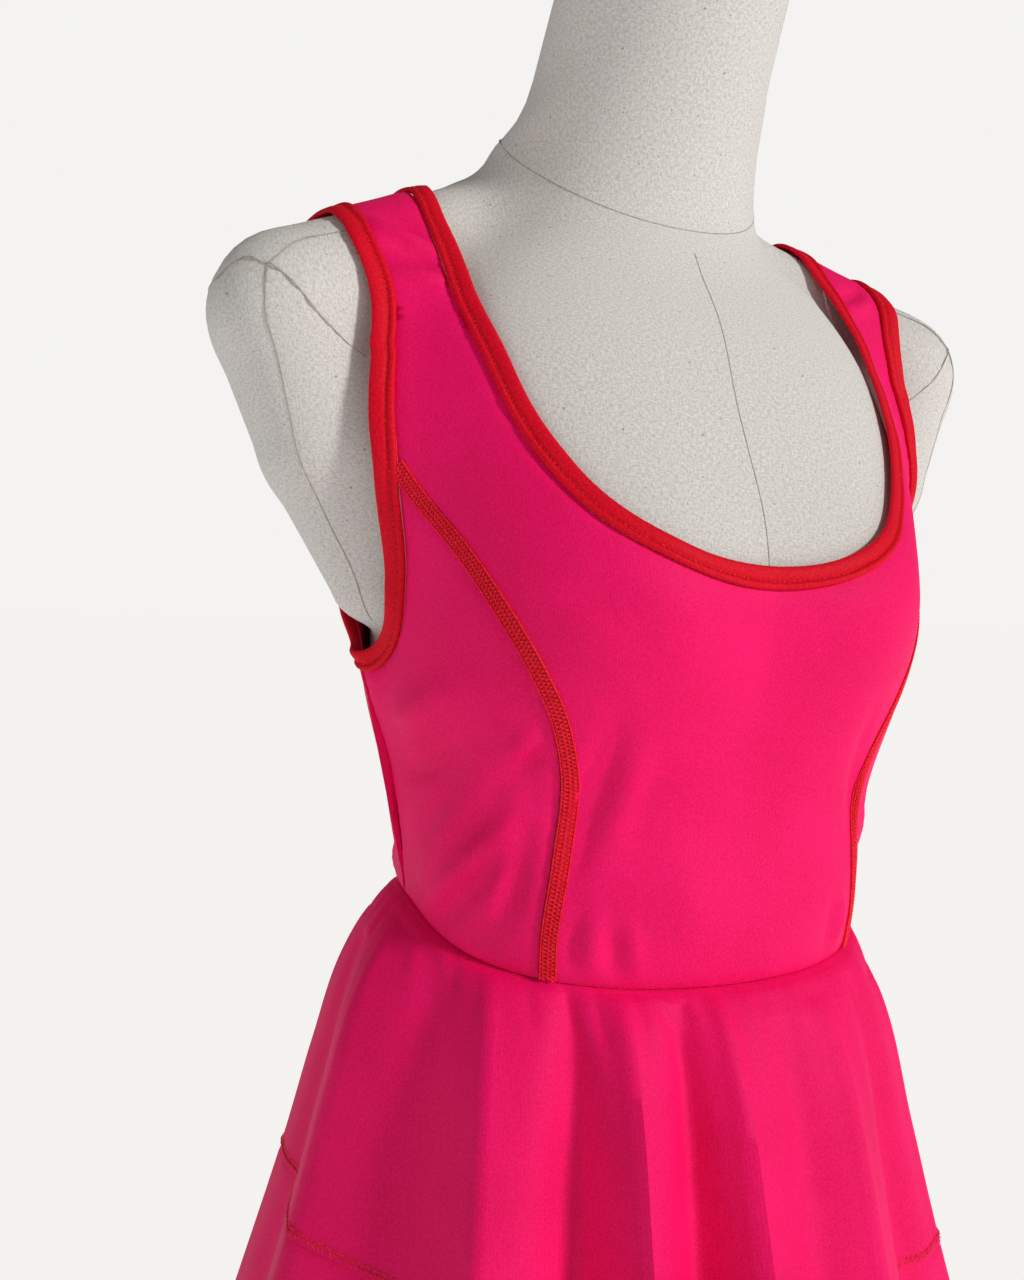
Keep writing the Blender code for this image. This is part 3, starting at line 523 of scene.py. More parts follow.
def smooth_line(points, spacing=1.0, closed=False, steps=24):
    """Even points along a smooth curve through a few points, flat or in space."""
    points = np.array(points, float)
    if closed:
        before, after = points[-1:], points[:2]
    else:
        before, after = 2 * points[:1] - points[1:2], 2 * points[-1:] - points[-2:-1]
    padded = np.vstack([before, points, after])
    fine = []
    for a, b, c, d in zip(padded[:-3], padded[1:-2], padded[2:-1], padded[3:]):
        for t in np.linspace(0, 1, steps, endpoint=False):
            fine.append(0.5 * (2 * b + (c - a) * t + (2 * a - 5 * b + 4 * c - d) * t ** 2
                               + (3 * b - a - 3 * c + d) * t ** 3))
    fine.append(points[0] if closed else points[-1])
    return even_points(np.array(fine), spacing, closed=closed)


print("armhole on the pattern:", round(run_length(smooth_line(ARMHOLE, closed=True))[-1]), "mm")


# %% Seams
def waist_level(across):
    front = (0.5 + 0.5 * np.cos(np.radians(ring_angle(across)))) ** WAIST_BEND
    return WAIST_LEVEL_BACK + (WAIST_DIP_FRONT - WAIST_LEVEL_BACK) * front


def waist_line(start, end):
    across = np.linspace(start, end, max(2, round(abs(end - start) / LINE_STEP) + 1))
    return np.stack([across, waist_level(across)], axis=-1)


def nearest(line, point):
    return int(np.argmin(np.linalg.norm(line - point, axis=1)))


def stretch_of(ring, start, end):
    """The part of a closed line from one point to another."""
    first, last = nearest(ring, start), nearest(ring, end)
    part = ring[first:last + 1] if first <= last else np.vstack([ring[first:], ring[:last + 1]])
    return even_points(part, LINE_STEP, measured=bodice_base(part)[0])


def armhole_seams(side):
    ring = smooth_line(np.array(ARMHOLE) * (side, 1), closed=True)
    top = np.array(PRINCESS[0]) * (side, 1)
    underarm = np.array([side * SIDE_SEAM, UNDERARM_LEVEL])
    return {"front": stretch_of(ring, ring[0], top),
            "underarm": stretch_of(ring, top, underarm),
            "back": stretch_of(ring, underarm, ring[0])}


def neck_seams(left_shoulder, right_shoulder):
    half = np.array(NECKLINE, float)
    whole = smooth_line(np.vstack([half[:0:-1] * (-1, 1), half]))[:-1]
    left, right = left_shoulder + SHOULDER_JOIN, right_shoulder + SHOULDER_JOIN * (-1, 1)
    over_back = np.vstack([whole, whole + (ROUND, 0)])
    back = over_back[nearest(over_back, left):nearest(over_back, right + (ROUND, 0)) + 1]
    return {"front": fair(stretch_of(whole, right, left)),
            "back": even_points(back, LINE_STEP, measured=bodice_base(back)[0])}


def princess_seam(side, top):
    rows = np.array(PRINCESS, float) * (side, 1)
    rows[0] = top
    rows[-1, 1] = waist_level(rows[-1, 0])
    return smooth_line(rows, LINE_STEP)


def fair(line):
    """Even out a flat line as it runs over the body, its ends kept."""
    target = bodice_base(line)[0]
    for _ in range(FAIR_ROUNDS):
        target[1:-1] = (target[:-2] + 2 * target[1:-1] + target[2:]) / 4
    for _ in range(FAIR_PASSES):
        here = bodice_base(line)[0]
        across = (bodice_base(line + (PROBE, 0))[0] - here) / PROBE
        upward = (bodice_base(line + (0, PROBE))[0] - here) / PROBE
        slopes = np.stack([across, upward], axis=-1)
        line = line + np.einsum("nij,nj->ni", np.linalg.pinv(slopes), target - here)
    return line


HOLES = {side: armhole_seams(side) for side in (1, -1)}
NECK_SEAMS = neck_seams(HOLES[1]["front"][0], HOLES[-1]["front"][0])
PRINCESS_SEAMS = {side: princess_seam(side, HOLES[side]["front"][-1]) for side in (1, -1)}
print("neckline points:", len(NECK_SEAMS["front"]) + len(NECK_SEAMS["back"]))

# %% [markdown]
# ## Creases
# Stretch jersey lies smooth, but it pulls where the body turns: from the waist up
# to the bust point, under the arm and across the straps.  Each crease is drawn as
# a short line on the pattern, with its width and how far it stands out
# (or sinks in, if negative).  It fades at its ends, so no crease looks ruled.

# %% Creases of the bodice
CREASE_DEPTH, DEEPEST_CREASE = 2.7, -2.7
CREASE_POINTS, CREASE_REACH = 2.0, 3  # mm between a crease's points; half widths that it is felt
CREASE_END, CREASE_FADE = 0.04, 0.7   # how bluntly and how soon it fades
CREASE_FREE = 5.0                     # mm from a seam over which creases rise
# half width, height at its middle, then points (across, level)
CREASES = (
    (4.6, -1.7, (-52, 94), (-59, 68), (-68, 42), (-75, 18)),
    (5.5, 1.3, (-43, 86), (-49, 62), (-58, 34)),
    (5.0, 2.0, (-144, 2), (-124, 18), (-106, 34), (-88, 50)),
    (4.5, -1.3, (-134, -2), (-114, 14), (-98, 32), (-86, 56)),
    (5.5, 1.8, (-122, 0), (-106, 16), (-92, 40), (-82, 66)),
    (4.0, -1.2, (-110, -4), (-98, 14), (-89, 40), (-80, 72)),
    (2.6, -1.3, (-90, 66), (-84, 71), (-77, 79)),
    (3.0, 1.2, (-92, 72), (-86, 78), (-79, 86)),
    (8.0, 1.7, (-152, 8), (-130, 32), (-106, 62), (-92, 84)),
    (6.5, -1.2, (-142, 26), (-120, 52), (-100, 80)),
    (5.5, -0.9, (-150, 60), (-128, 66), (-104, 80)),
    (7.0, 1.1, (-150, 84), (-128, 90), (-104, 104)),
    (3.0, -0.9, (-58, -19), (-59, -8), (-58, 4)),
    (3.5, 0.8, (-68, -18), (-67, -4), (-64, 12)),
    (3.0, -0.8, (-77, -17), (-76, -4), (-72, 10)),
    (3.2, 0.8, (-48, -20), (-49, -8), (-52, 8)),
    (9.0, -0.8, (-66, 150), (-52, 132), (-44, 112)),
    (11.0, 0.6, (-30, 40), (-26, 14), (-24, -10)),
    (2.2, -0.9, (-173, 303), (-167, 304), (-158, 307)),
    (2.4, 1.5, (-172, 298), (-165, 299), (-155, 302)),
    (2.2, -0.9, (-166, 292), (-159, 294), (-148, 294)),
    (2.6, 1.3, (-162, 286), (-152, 288), (-141, 287)),
    (3.6, -0.9, (52, 96), (60, 66), (70, 38)),
    (5.0, 1.2, (140, 4), (120, 22), (98, 44)),
    (4.5, -1.1, (130, 0), (110, 18), (92, 44)),
    (3.6, -1.0, (112, -4), (98, 22), (84, 60)),
    (3.0, -0.8, (60, -19), (60, -6), (56, 8)),
    (3.2, 0.8, (70, -18), (70, -4), (66, 10)),
    (2.6, -1.3, (170, 301), (165, 303), (158, 305)),
    (3.0, 1.0, (168, 295), (162, 298), (156, 300)),
    (6.5, -1.2, (200, 16), (228, 30), (262, 34)),
    (7.0, 1.3, (196, 4), (226, 16), (262, 18)),
    (6.0, -1.1, (206, -2), (234, 4), (268, 4)),
    (7.0, 1.1, (280, 26), (318, 22), (352, 24), (392, 20)),
    (6.5, -1.2, (272, 12), (312, 8), (352, 11), (400, 6)),
    (6.5, -1.2, (490, 18), (462, 30), (428, 34)),
    (7.0, 1.2, (494, 6), (466, 17), (430, 20)),
    (9.0, 0.9, (232, 120), (252, 96), (282, 80)),
    (8.0, -0.9, (462, 122), (442, 98), (414, 84)),
    (10.0, -0.8, (300, 180), (346, 172), (392, 182)),
    (3.6, 0.9, (214, 262), (226, 268), (238, 270)),
    (3.6, -0.9, (476, 262), (466, 268), (454, 270)),
)


def crease_lift(flat):
    """How far the creases lift each (across, level) of the pattern."""
    lift = np.zeros(len(flat))
    for half_width, height, *points in CREASES:
        line = smooth_line(points, CREASE_POINTS)
        reach = CREASE_REACH * half_width
        near = np.all((flat > line.min(0) - reach) & (flat < line.max(0) + reach), axis=1)
        if not near.any():
            continue
        gap = np.linalg.norm(flat[near][:, None] - line[None], axis=-1)
        along = np.clip(gap.argmin(axis=1) / (len(line) - 1), CREASE_END, 1 - CREASE_END)
        fade = np.sin(np.pi * along) ** CREASE_FADE
        lift[near] += CREASE_DEPTH * height * fade * bell(gap.min(axis=1), 0, half_width)
    return np.maximum(lift, DEEPEST_CREASE)


print("creases:", len(CREASES))

# %% [markdown]
# ## Turning flat shapes into cloth
# Each piece is a thin closed shell: an outer and an inner sheet joined round the
# edge.  Near a seam the outer sheet dips, as sewn cloth does, and two dips side by
# side make the dark groove that shows in the photograph.

# %% Cloth shells
PANEL_STEP = 3.4
LONGEST_EDGE = 2.0 * PANEL_STEP
ROW_HEIGHT, EDGE_MARGIN = 0.87, 0.55  # in steps: between rows of points, and off the outline
SEAM_DIP, SEAM_DIP_WIDTH = 1.1, 1.7
LOWEST_FACE = -0.4                    # the inner face sinks no further at a seam
SHARP_EDGE = 55.0                     # degrees from which an edge isn't shaded smooth


def new_object(name, data):
    thing = bpy.data.objects.new(name, data)
    bpy.context.scene.collection.objects.link(thing)
    return thing


def add_piece(name, points, faces, material, flat=None):
    """A mesh at the origin that rides on the one body; flat, in mm, becomes its UV map."""
    mesh = bpy.data.meshes.new(name)
    mesh.from_pydata(place(points).tolist(), [], [tuple(int(i) for i in f) for f in faces])
    mesh.materials.append(material)
    if flat is not None:
        corners = np.zeros(len(mesh.loops), int)
        mesh.loops.foreach_get("vertex_index", corners)
        layer = mesh.uv_layers.new(name="flat")
        layer.data.foreach_set("uv", (np.asarray(flat)[corners] / 1000).astype(np.float32).ravel())
    mesh.shade_smooth()
    mesh.set_sharp_from_angle(angle=math.radians(SHARP_EDGE))
    piece = new_object(name, mesh)
    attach(piece, "root")
    return piece


print("panel points every", PANEL_STEP, "mm")


# %% Flat meshes
def shell_faces(triangles, border, count):
    faces = [tuple(t) for t in triangles + count] + [tuple(t[::-1]) for t in triangles]
    faces += [(a, b, b + count, a + count) for a, b in zip(border, np.roll(border, -1))]
    return faces


def triangulate(flat, border):
    edges = [(int(a), int(b)) for a, b in zip(border, np.roll(border, -1))]
    verts, _, triangles, _, _, _ = delaunay_2d_cdt([Vector(p) for p in flat], edges, [], 1, 1e-6)
    return np.array([tuple(v) for v in verts]), np.array(triangles)


def middles_of_long_edges(flat, triangles, border_count):
    edges = np.vstack([triangles[:, [0, 1]], triangles[:, [1, 2]], triangles[:, [2, 0]]])
    edges = np.unique(np.sort(edges, axis=1), axis=0)
    edges = edges[(edges >= border_count).any(axis=1)]
    on_body = bodice_base(flat)[0]
    length = np.linalg.norm(on_body[edges[:, 0]] - on_body[edges[:, 1]], axis=1)
    middles = flat[edges[length > LONGEST_EDGE]].mean(axis=1)
    cells = {tuple(np.round(m / (PANEL_STEP / 3)).astype(int)): m for m in middles}
    return np.array(list(cells.values()))


def inset(outline, gap):
    """Move a counter-clockwise outline inwards by a real distance."""
    def inward(a, b):
        along = unit(b - a)
        return np.stack([-along[:, 1], along[:, 0]], axis=-1)
    first = inward(np.roll(outline, 1, axis=0), outline)
    mitre = unit(first + inward(outline, np.roll(outline, -1, axis=0)))
    spread = np.clip(np.sum(mitre * first, axis=1), 0.5, 1)
    moved = bodice_base(outline + PROBE * mitre)[0] - bodice_base(outline)[0]
    stretch = np.linalg.norm(moved, axis=1) / PROBE
    return outline + mitre * (gap / (spread * stretch))[:, None]


def distances(points, targets):
    """How far each point in space is from the nearest target."""
    tree = KDTree(len(targets))
    for i, target in enumerate(targets):
        tree.insert(target, i)
    tree.balance()
    return np.array([tree.find(point)[2] for point in points])


def inside_outline(points, outline, margin):
    """Which points lie inside an outline and at least `margin` from it."""
    x, y = points[:, :1], points[:, 1:]
    x0, y0 = outline.T
    x1, y1 = np.roll(x0, -1), np.roll(y0, -1)
    rise = np.where(y1 == y0, 1e-9, y1 - y0)
    crossing = ((y0 > y) != (y1 > y)) & (x < (x1 - x0) * (y - y0) / rise + x0)
    far = distances(*(np.pad(flat, ((0, 0), (0, 1))) for flat in (points, outline))) > margin
    return (crossing.sum(axis=1) % 2 == 1) & far


print("faces of a one-triangle shell:", len(shell_faces(np.array([[0, 1, 2]]), np.arange(3), 3)))


# %% Cloth panels
def outline_of(*stretches):
    points = []
    for point in np.vstack(stretches):
        if not points or np.linalg.norm(points[-1] - point) > 0.01:
            points.append(point)
    if np.linalg.norm(points[0] - points[-1]) < 0.01:
        points.pop()
    return np.array(points)


def cloth_panel(name, outline):
    """A bodice piece cut along an outline of the pattern."""
    x, y = outline.T
    turn = np.sum(x * np.roll(y, -1) - y * np.roll(x, -1))
    outline = inset(outline if turn > 0 else outline[::-1], SEAM_GAP / 2)
    low, high = outline.min(axis=0), outline.max(axis=0)
    rows = np.arange(low[1] + PANEL_STEP / 2, high[1], PANEL_STEP * ROW_HEIGHT)
    grid = np.array([(x + PANEL_STEP / 2 * (row % 2), y) for row, y in enumerate(rows)
                     for x in np.arange(low[0], high[0], PANEL_STEP)])
    flat = np.vstack([outline, grid[inside_outline(grid, outline, PANEL_STEP * EDGE_MARGIN)]])
    border = np.arange(len(outline))
    flat, triangles = triangulate(flat, border)
    for _ in range(2):
        middles = middles_of_long_edges(flat, triangles, len(border))
        if not len(middles):
            break
        flat, triangles = triangulate(np.vstack([flat, middles]), border)
    a, b, c = (flat[triangles[:, k]] for k in range(3))
    flipped = (b - a)[:, 0] * (c - a)[:, 1] - (b - a)[:, 1] * (c - a)[:, 0] < 0
    triangles[flipped] = triangles[flipped][:, ::-1]
    base, normal = bodice_base(flat)
    seam = distances(base, base[border])
    lift = crease_lift(flat) * (1 - bell(seam, 0, CREASE_FREE))
    dip = SEAM_DIP * bell(seam, 0, SEAM_DIP_WIDTH)
    outer = base + (CLOTH_OUT + lift - dip)[:, None] * normal
    inner = base + np.maximum(CLOTH_IN + lift - dip, LOWEST_FACE)[:, None] * normal
    return add_piece(name, np.vstack([inner, outer]), shell_faces(triangles, border, len(flat)),
                     JERSEY, np.vstack([flat, flat]))


print("outline of the right armhole:", len(outline_of(*HOLES[-1].values())), "points")

# %% [markdown]
# ## The bodice
# Four pieces: one front, two side fronts and one back.  The princess seams run from
# the armholes over the bust to the waist, and shape the front without darts.

# %% Bodice pieces
def make_bodice():
    front = cloth_panel("jersey_bodice_front", outline_of(
        waist_line(PRINCESS_SEAMS[-1][-1][0], PRINCESS_SEAMS[1][-1][0]),
        PRINCESS_SEAMS[1][::-1], HOLES[1]["front"][::-1], NECK_SEAMS["front"][::-1],
        HOLES[-1]["front"], PRINCESS_SEAMS[-1]))
    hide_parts("bodice_front")
    pieces = {"front": front}
    for side, word in ((-1, "right"), (1, "left")):
        foot = HOLES[side]["underarm"][-1]
        side_seam = even_points(np.array([foot, (foot[0], waist_level(foot[0]))]), LINE_STEP)
        pieces[word] = cloth_panel(f"jersey_side_front_{word}", outline_of(
            HOLES[side]["underarm"], side_seam,
            waist_line(foot[0], PRINCESS_SEAMS[side][-1][0]), PRINCESS_SEAMS[side][::-1]))
        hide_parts(f"bodice_side_front_{word}")
    right_hole, left_hole = HOLES[-1]["back"] + (ROUND, 0), HOLES[1]["back"]
    pieces["back"] = cloth_panel("jersey_bodice_back", outline_of(
        waist_line(left_hole[0][0], right_hole[0][0]), right_hole, NECK_SEAMS["back"][::-1],
        left_hole[::-1]))
    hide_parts("bodice_back")
    return pieces


bodice = make_bodice()
print({name: len(piece.data.polygons) for name, piece in bodice.items()})

# %% [markdown]
# ## The bindings
# A strip is folded over the raw edge and stitched down.  Next to the seam its
# allowance makes a narrow ridge, then comes the ditch with the stitches, and then
# the flat band that ends in the fold.  The section is swept along the seam.

# %% Bindings
# reach from the seam on a band of the section's width, height off the inside of the cloth
SECTION_WIDTH = 11.75
BINDING_SECTION = (
    (0.30, 0.15), (0.20, 0.9), (-0.35, 1.35), (-0.3, 2.0), (0.4, 2.65), (1.5, 2.95), (2.5, 2.75),
    (3.1, 2.2), (3.55, 1.75), (4.05, 1.8), (4.7, 2.25), (6.0, 2.5), (8.0, 2.55), (9.8, 2.4),
    (11.0, 1.95), (11.65, 1.35), (11.75, 0.8), (11.4, 0.35), (9.5, 0.15), (5.0, 0.1),
)
DITCH = 3.8                           # reach of the ditch on the section
RIBBON_ROUNDS, BAND_WANDER = 50, 0.12
BAND_WIDTHS = {"neck": 9.4, "right": 10.8, "left": 10.8}


def binding_points(line, opening, section):
    """Rows of points across a band that is sewn along a closed seam."""
    angle = ring_angle(line[:, 0])
    clear = cloth_clearance(angle, line[:, 1])
    seam = form_point(angle, line[:, 1], clear, CLOTH_SKIN)
    normal = field_normal(seam)
    along = np.roll(seam, -1, axis=0) - np.roll(seam, 1, axis=0)
    inward = unit(np.cross(normal, along))
    if np.sum(inward * (np.array(opening) - seam)) < 0:
        inward = -inward
    for _ in range(RIBBON_ROUNDS):    # the strip is one smooth ribbon, also where the form turns
        inward = (inward + np.roll(inward, 1, axis=0) + np.roll(inward, -1, axis=0)) / 3
    inward = unit(inward)
    rows = []
    steps = np.arange(len(seam))      # slow waves, as a strip that is guided by hand has
    sway = BAND_WANDER * (np.sin(steps * 0.37) + 0.6 * np.sin(steps * 0.113 + 2))
    puff = 1 + 0.06 * np.sin(steps * 0.61) + 0.05 * np.sin(steps * 0.233 + 1)
    for reach, height in section:
        point = seam + (reach + reach / 11 * sway)[:, None] * inward
        for _ in range(2):
            lift = form_field(point, CLOTH_SKIN) - clear
            point = point - lift[:, None] * field_normal(point)
        rows.append(point + (height * puff)[:, None] * field_normal(point))
    return np.stack(rows, axis=1)


def tube_faces(rows, closed):
    """Faces of a tube made of rings of points; an open one ends in its first and last ring."""
    ring = np.arange(rows.shape[0] * rows.shape[1]).reshape(rows.shape[:2])
    beside = np.roll(ring, -1, axis=1)
    beyond = np.roll(beside, -1, axis=0)
    faces = np.stack([ring, beside, beyond, np.roll(ring, -1, axis=0)], axis=-1)
    if closed:
        return faces.reshape(-1, 4)
    return [*faces[:-1].reshape(-1, 4).tolist(), ring[0][::-1].tolist(), ring[-1].tolist()]


def closed_tube(name, rows, material, flat):
    """A tube of rows that closes on itself both ways."""
    faces, points = tube_faces(rows, closed=True), rows.reshape(-1, 3)
    p, q, r, s = (points[faces[:, k]] for k in range(4))
    volume = np.einsum("ij,ij->", p, np.cross(q, r)) + np.einsum("ij,ij->", p, np.cross(r, s))
    return add_piece(name, points, faces if volume > 0 else faces[:, ::-1], material, flat)


def make_bindings():
    lines = {"neck": (outline_of(NECK_SEAMS["front"], NECK_SEAMS["back"]), (0, 20, 345))}
    for side, word in ((-1, "right"), (1, "left")):
        hole = HOLES[side]
        lines[word] = (outline_of(hole["front"], hole["underarm"], hole["back"]),
                       (side * 165, 15, 220))
    bands = {}
    for word, (line, opening) in lines.items():
        section = np.array(BINDING_SECTION) * (BAND_WIDTHS[word] / SECTION_WIDTH, 1)
        rows = binding_points(line, opening, section)
        lengths = run_length(rows[:, 4])
        flat = np.stack(np.broadcast_arrays(section[:, 0], lengths[:, None]), axis=-1)
        name = "neck_binding" if word == "neck" else f"armhole_binding_{word}"
        bands[word] = closed_tube("folded_" + name, rows, BINDING, flat.reshape(-1, 2))
        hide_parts(name)
        print(name, "is", round(float(lengths[-1])), "mm long")
    return bands, lines


bands, band_lines = make_bindings()

# %% [markdown]
# ## The skirt
# The skirt is cut wider at the hem than at the waist, so that it falls in soft
# cones.  Each fold is one row of a table: where it is, how wide, how deep at the
# hem and how far down it starts.  Small puckers under the waist seam come from the
# skirt being eased on to a shorter bodice.

# %% Skirt tables
SKIRT_LENGTH, FLOUNCE_LENGTH = 134.0, 252.0
HEM = SKIRT_LENGTH + FLOUNCE_LENGTH
SKIRT_FLARE = (
    (0, 0), (6, 6), (14, 12), (40, 24), (80, 34), (130, 46), (200, 66), (300, 96), (400, 126),
)
FLAT_HIP = ((0, 0), (20, 10), (60, 22), (130, 25), (400, 28))
FLAT_HIP_PLACE, FLAT_HIP_WIDTH = 150.0, 46.0
FOLD_GROWTH, FOLD_OPENING = 0.45, 90.0
FOLD_START, FOLD_GAIN = 0.55, 0.45    # share of its width at the top, and what it gains below
CREST_ROUNDING = 0.05                 # crests are sharp, valleys round
PUCKER_LEAN = 0.12
# place across, half widths to the wearer's right and left, depth at the hem, where it starts
SKIRT_FOLDS = (
    (-162, 13, 16, 24, 8), (-132, 14, 12, -14, 8), (-110, 11, 20, 27, 2), (-77, 14, 11, -29, 2),
    (-57, 8, 17, 29, 3), (-32, 12, 10, -28, 4), (-13, 7.5, 13, 26, 5), (18, 12, 12, -10, 14),
    (44, 13, 13, 17, 10), (76, 12, 9, -16, 8), (104, 12, 18, 18, 16), (135, 11, 11, -13, 22),
    (163, 13, 13, 19, 10), (192, 11, 11, -12, 16), (220, 13, 15, 17, 8), (247, 10, 10, -15, 20),
    (271, 11, 14, 15, 12), (298, 11, 11, -14, 8), (324, 12, 14, 16, 18), (352, 11, 11, -12, 10),
    (380, 12, 16, 18, 8), (408, 10, 10, -15, 16), (433, 12, 12, 16, 12), (461, 11, 11, -13, 8),
    (486, 12, 12, 15, 14), (510, 9, 9, -12, 20),
)
# place across, half width, depth, middle of its length below the seam, half its length
PUCKERS = (
    (-79, 2.2, -1.2, 9, 8), (-72, 2.4, 1.1, 10, 9), (-66, 2.2, -1.5, 13, 12),
    (-58, 3.0, 1.0, 14, 10), (-50, 2.0, -1.1, 10, 9), (-40, 2.0, -0.8, 8, 6),
    (-33, 2.4, 0.8, 10, 8), (-27, 2.0, -1.0, 9, 7), (-19, 2.2, -0.8, 7, 5),
    (-12, 2.4, 0.8, 10, 8), (-5, 2.2, -1.1, 10, 8), (4, 2.4, 0.8, 9, 7), (12, 2.0, -0.9, 8, 7),
    (22, 2.6, -1.0, 12, 9), (31, 2.4, 0.8, 10, 8), (40, 2.2, -0.9, 9, 7), (52, 2.6, -1.0, 11, 8),
    (63, 2.4, 0.9, 9, 8), (74, 2.4, -1.1, 10, 9), (90, 2.6, 0.9, 11, 9), (103, 2.4, -1.0, 9, 8),
    (122, 2.8, -1.0, 10, 9), (143, 3.0, 0.9, 12, 9), (-95, 2.8, -1.0, 10, 9),
    (-112, 2.6, 0.9, 12, 10), (-126, 2.8, -1.1, 11, 9), (-146, 3.0, 1.0, 12, 9),
    (196, 3.0, -1.1, 10, 9), (214, 2.8, 1.0, 12, 9), (233, 2.6, -1.2, 10, 8),
    (252, 2.8, 1.0, 9, 8), (270, 2.4, -1.0, 11, 9), (291, 3.0, 0.9, 10, 8),
    (309, 2.6, -1.1, 12, 10), (331, 2.8, 1.0, 9, 8), (349, 2.6, -1.2, 10, 9),
    (368, 3.0, 0.9, 12, 9), (387, 2.4, -1.0, 10, 8), (409, 2.8, 1.0, 9, 8),
    (428, 2.6, -1.1, 11, 9), (447, 2.8, 0.9, 10, 8), (468, 2.6, -1.0, 12, 9),
    (489, 3.0, 1.0, 10, 8), (505, 2.4, -0.9, 9, 7),
)

print("folds and puckers:", len(SKIRT_FOLDS), "and", len(PUCKERS))


# %% Folds and puckers
def fold_lift(across, drop):
    """Soft cones that open on their way down; each side of a fold has its own width."""
    lift = np.zeros(np.broadcast(across, drop).shape)
    opening = FOLD_START + FOLD_GAIN * np.clip(drop / FOLD_OPENING, 0, 1)
    for middle, right_width, left_width, depth, start in SKIRT_FOLDS:
        down = np.clip((drop - start) / (HEM - start), 0, None)
        away = wrapped(across - middle)
        width = np.where(away < 0, right_width, left_width) * opening
        t = np.sqrt((away / width) ** 2 + CREST_ROUNDING ** 2) - CREST_ROUNDING
        lift += depth * down ** FOLD_GROWTH * np.exp(-(t if depth > 0 else t ** 2))
    return lift


def pucker_lift(across, drop):
    lift = np.zeros(np.broadcast(across, drop).shape)
    for middle, half_width, depth, place_down, half_length in PUCKERS:
        away = wrapped(across - middle - PUCKER_LEAN * (drop - place_down))
        lift += depth * np.exp(-(away / half_width) ** 2 - ((drop - place_down) / half_length) ** 2)
    return lift


WAIST_PLACES = np.arange(-ROUND / 2, ROUND / 2 + 1.0)
WAIST_CURVE = form_point(ring_angle(WAIST_PLACES), waist_level(WAIST_PLACES), EASE, CLOTH_SKIN)


def skirt_point(across, drop):
    """Inside face of the skirt, `drop` below the waist seam."""
    angle = np.radians(ring_angle(across))
    waist = np.stack([np.interp(wrapped(across), WAIST_PLACES, places)
                      for places in WAIST_CURVE.T], axis=-1)
    flat_hip = smooth_table(FLAT_HIP, 1, drop) * bell(across, FLAT_HIP_PLACE, FLAT_HIP_WIDTH)
    out = (smooth_table(SKIRT_FLARE, 1, drop) - flat_hip
           + fold_lift(across, drop) + pucker_lift(across, drop))
    return waist + np.stack([np.sin(angle) * out, -np.cos(angle) * out, -drop], axis=-1)


print("once round the waist seam:", round(float(run_length(WAIST_CURVE)[-1])), "mm")

# %% [markdown]
# The lower tier is sewn under the skirt: the skirt's edge stands a little proud and
# the tier starts just inside it, with a narrow row of red stitches on the join.

# %% Skirt and tier
COLUMN_STEP = 2.2
ROW_STEP = 3.2
SKIRT_IN, SKIRT_OUT = 0.5, 1.6
SIDE_GAP = 0.04                       # the side seams are closed, so no light shows through them
# how far the top and bottom edges sink in: the skirt's lower edge stands proud of the tier
SKIRT_DIPS, TIER_DIPS = (1.5, -0.35), (0.5, 0.2)
EDGE_DIP_WIDTH, SIDE_DIP_WIDTH = 2.2, 1.8
LEVEL_TOP = 6.0                       # mm below the waist where the cloth's wall lies level


def skirt_surface(across, drop):
    """Inside face and outward normal on a grid of the skirt."""
    ring = skirt_point(across + PROBE, drop) - skirt_point(across - PROBE, drop)
    down = skirt_point(across, drop + PROBE) - skirt_point(across, drop - PROBE)
    return skirt_point(across, drop), unit(np.cross(down, ring))


def skirt_tier(name, span, drops, dips, node):
    """A tier between two side seams; dips are how far its edges (top, bottom) sink in."""
    columns = round((span[1] - span[0]) / COLUMN_STEP)
    across = np.linspace(span[0] + SIDE_GAP / 2, span[1] - SIDE_GAP / 2, columns)
    grid, drop = np.meshgrid(across, drops)
    middle, normal = skirt_surface(grid, drop)
    if drops[0] < SKIRT_LENGTH / 2:
        level_out = np.clip(1 - drop / LEVEL_TOP, 0, 1)[..., None]
        normal = unit(normal * (1 - level_out) + unit(normal * (1, 1, 0)) * level_out)
    side = np.minimum(grid - span[0], span[1] - grid)
    dip = (dips[0] * bell(drop, drops[0], EDGE_DIP_WIDTH)
           + dips[1] * bell(drop, drops[-1], EDGE_DIP_WIDTH)
           + SEAM_DIP * bell(side, 0, SIDE_DIP_WIDTH))[..., None]
    index = np.arange(drop.size).reshape(drop.shape)
    a, b, c, d = index[:-1, :-1], index[1:, :-1], index[1:, 1:], index[:-1, 1:]
    triangles = np.concatenate([np.stack(corners, -1).reshape(-1, 3)
                                for corners in ((a, b, c), (a, c, d))])
    border = np.concatenate([index[:, 0], index[-1, 1:], index[-2::-1, -1], index[0, -2:0:-1]])
    points = np.vstack([(middle + (face - dip) * normal).reshape(-1, 3)
                        for face in (SKIRT_IN, SKIRT_OUT)])
    flat = np.stack([grid, -drop], axis=-1).reshape(-1, 2)
    piece = add_piece(name, points, shell_faces(triangles, border, drop.size), JERSEY,
                      np.vstack([flat, flat]))
    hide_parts(node)
    return piece


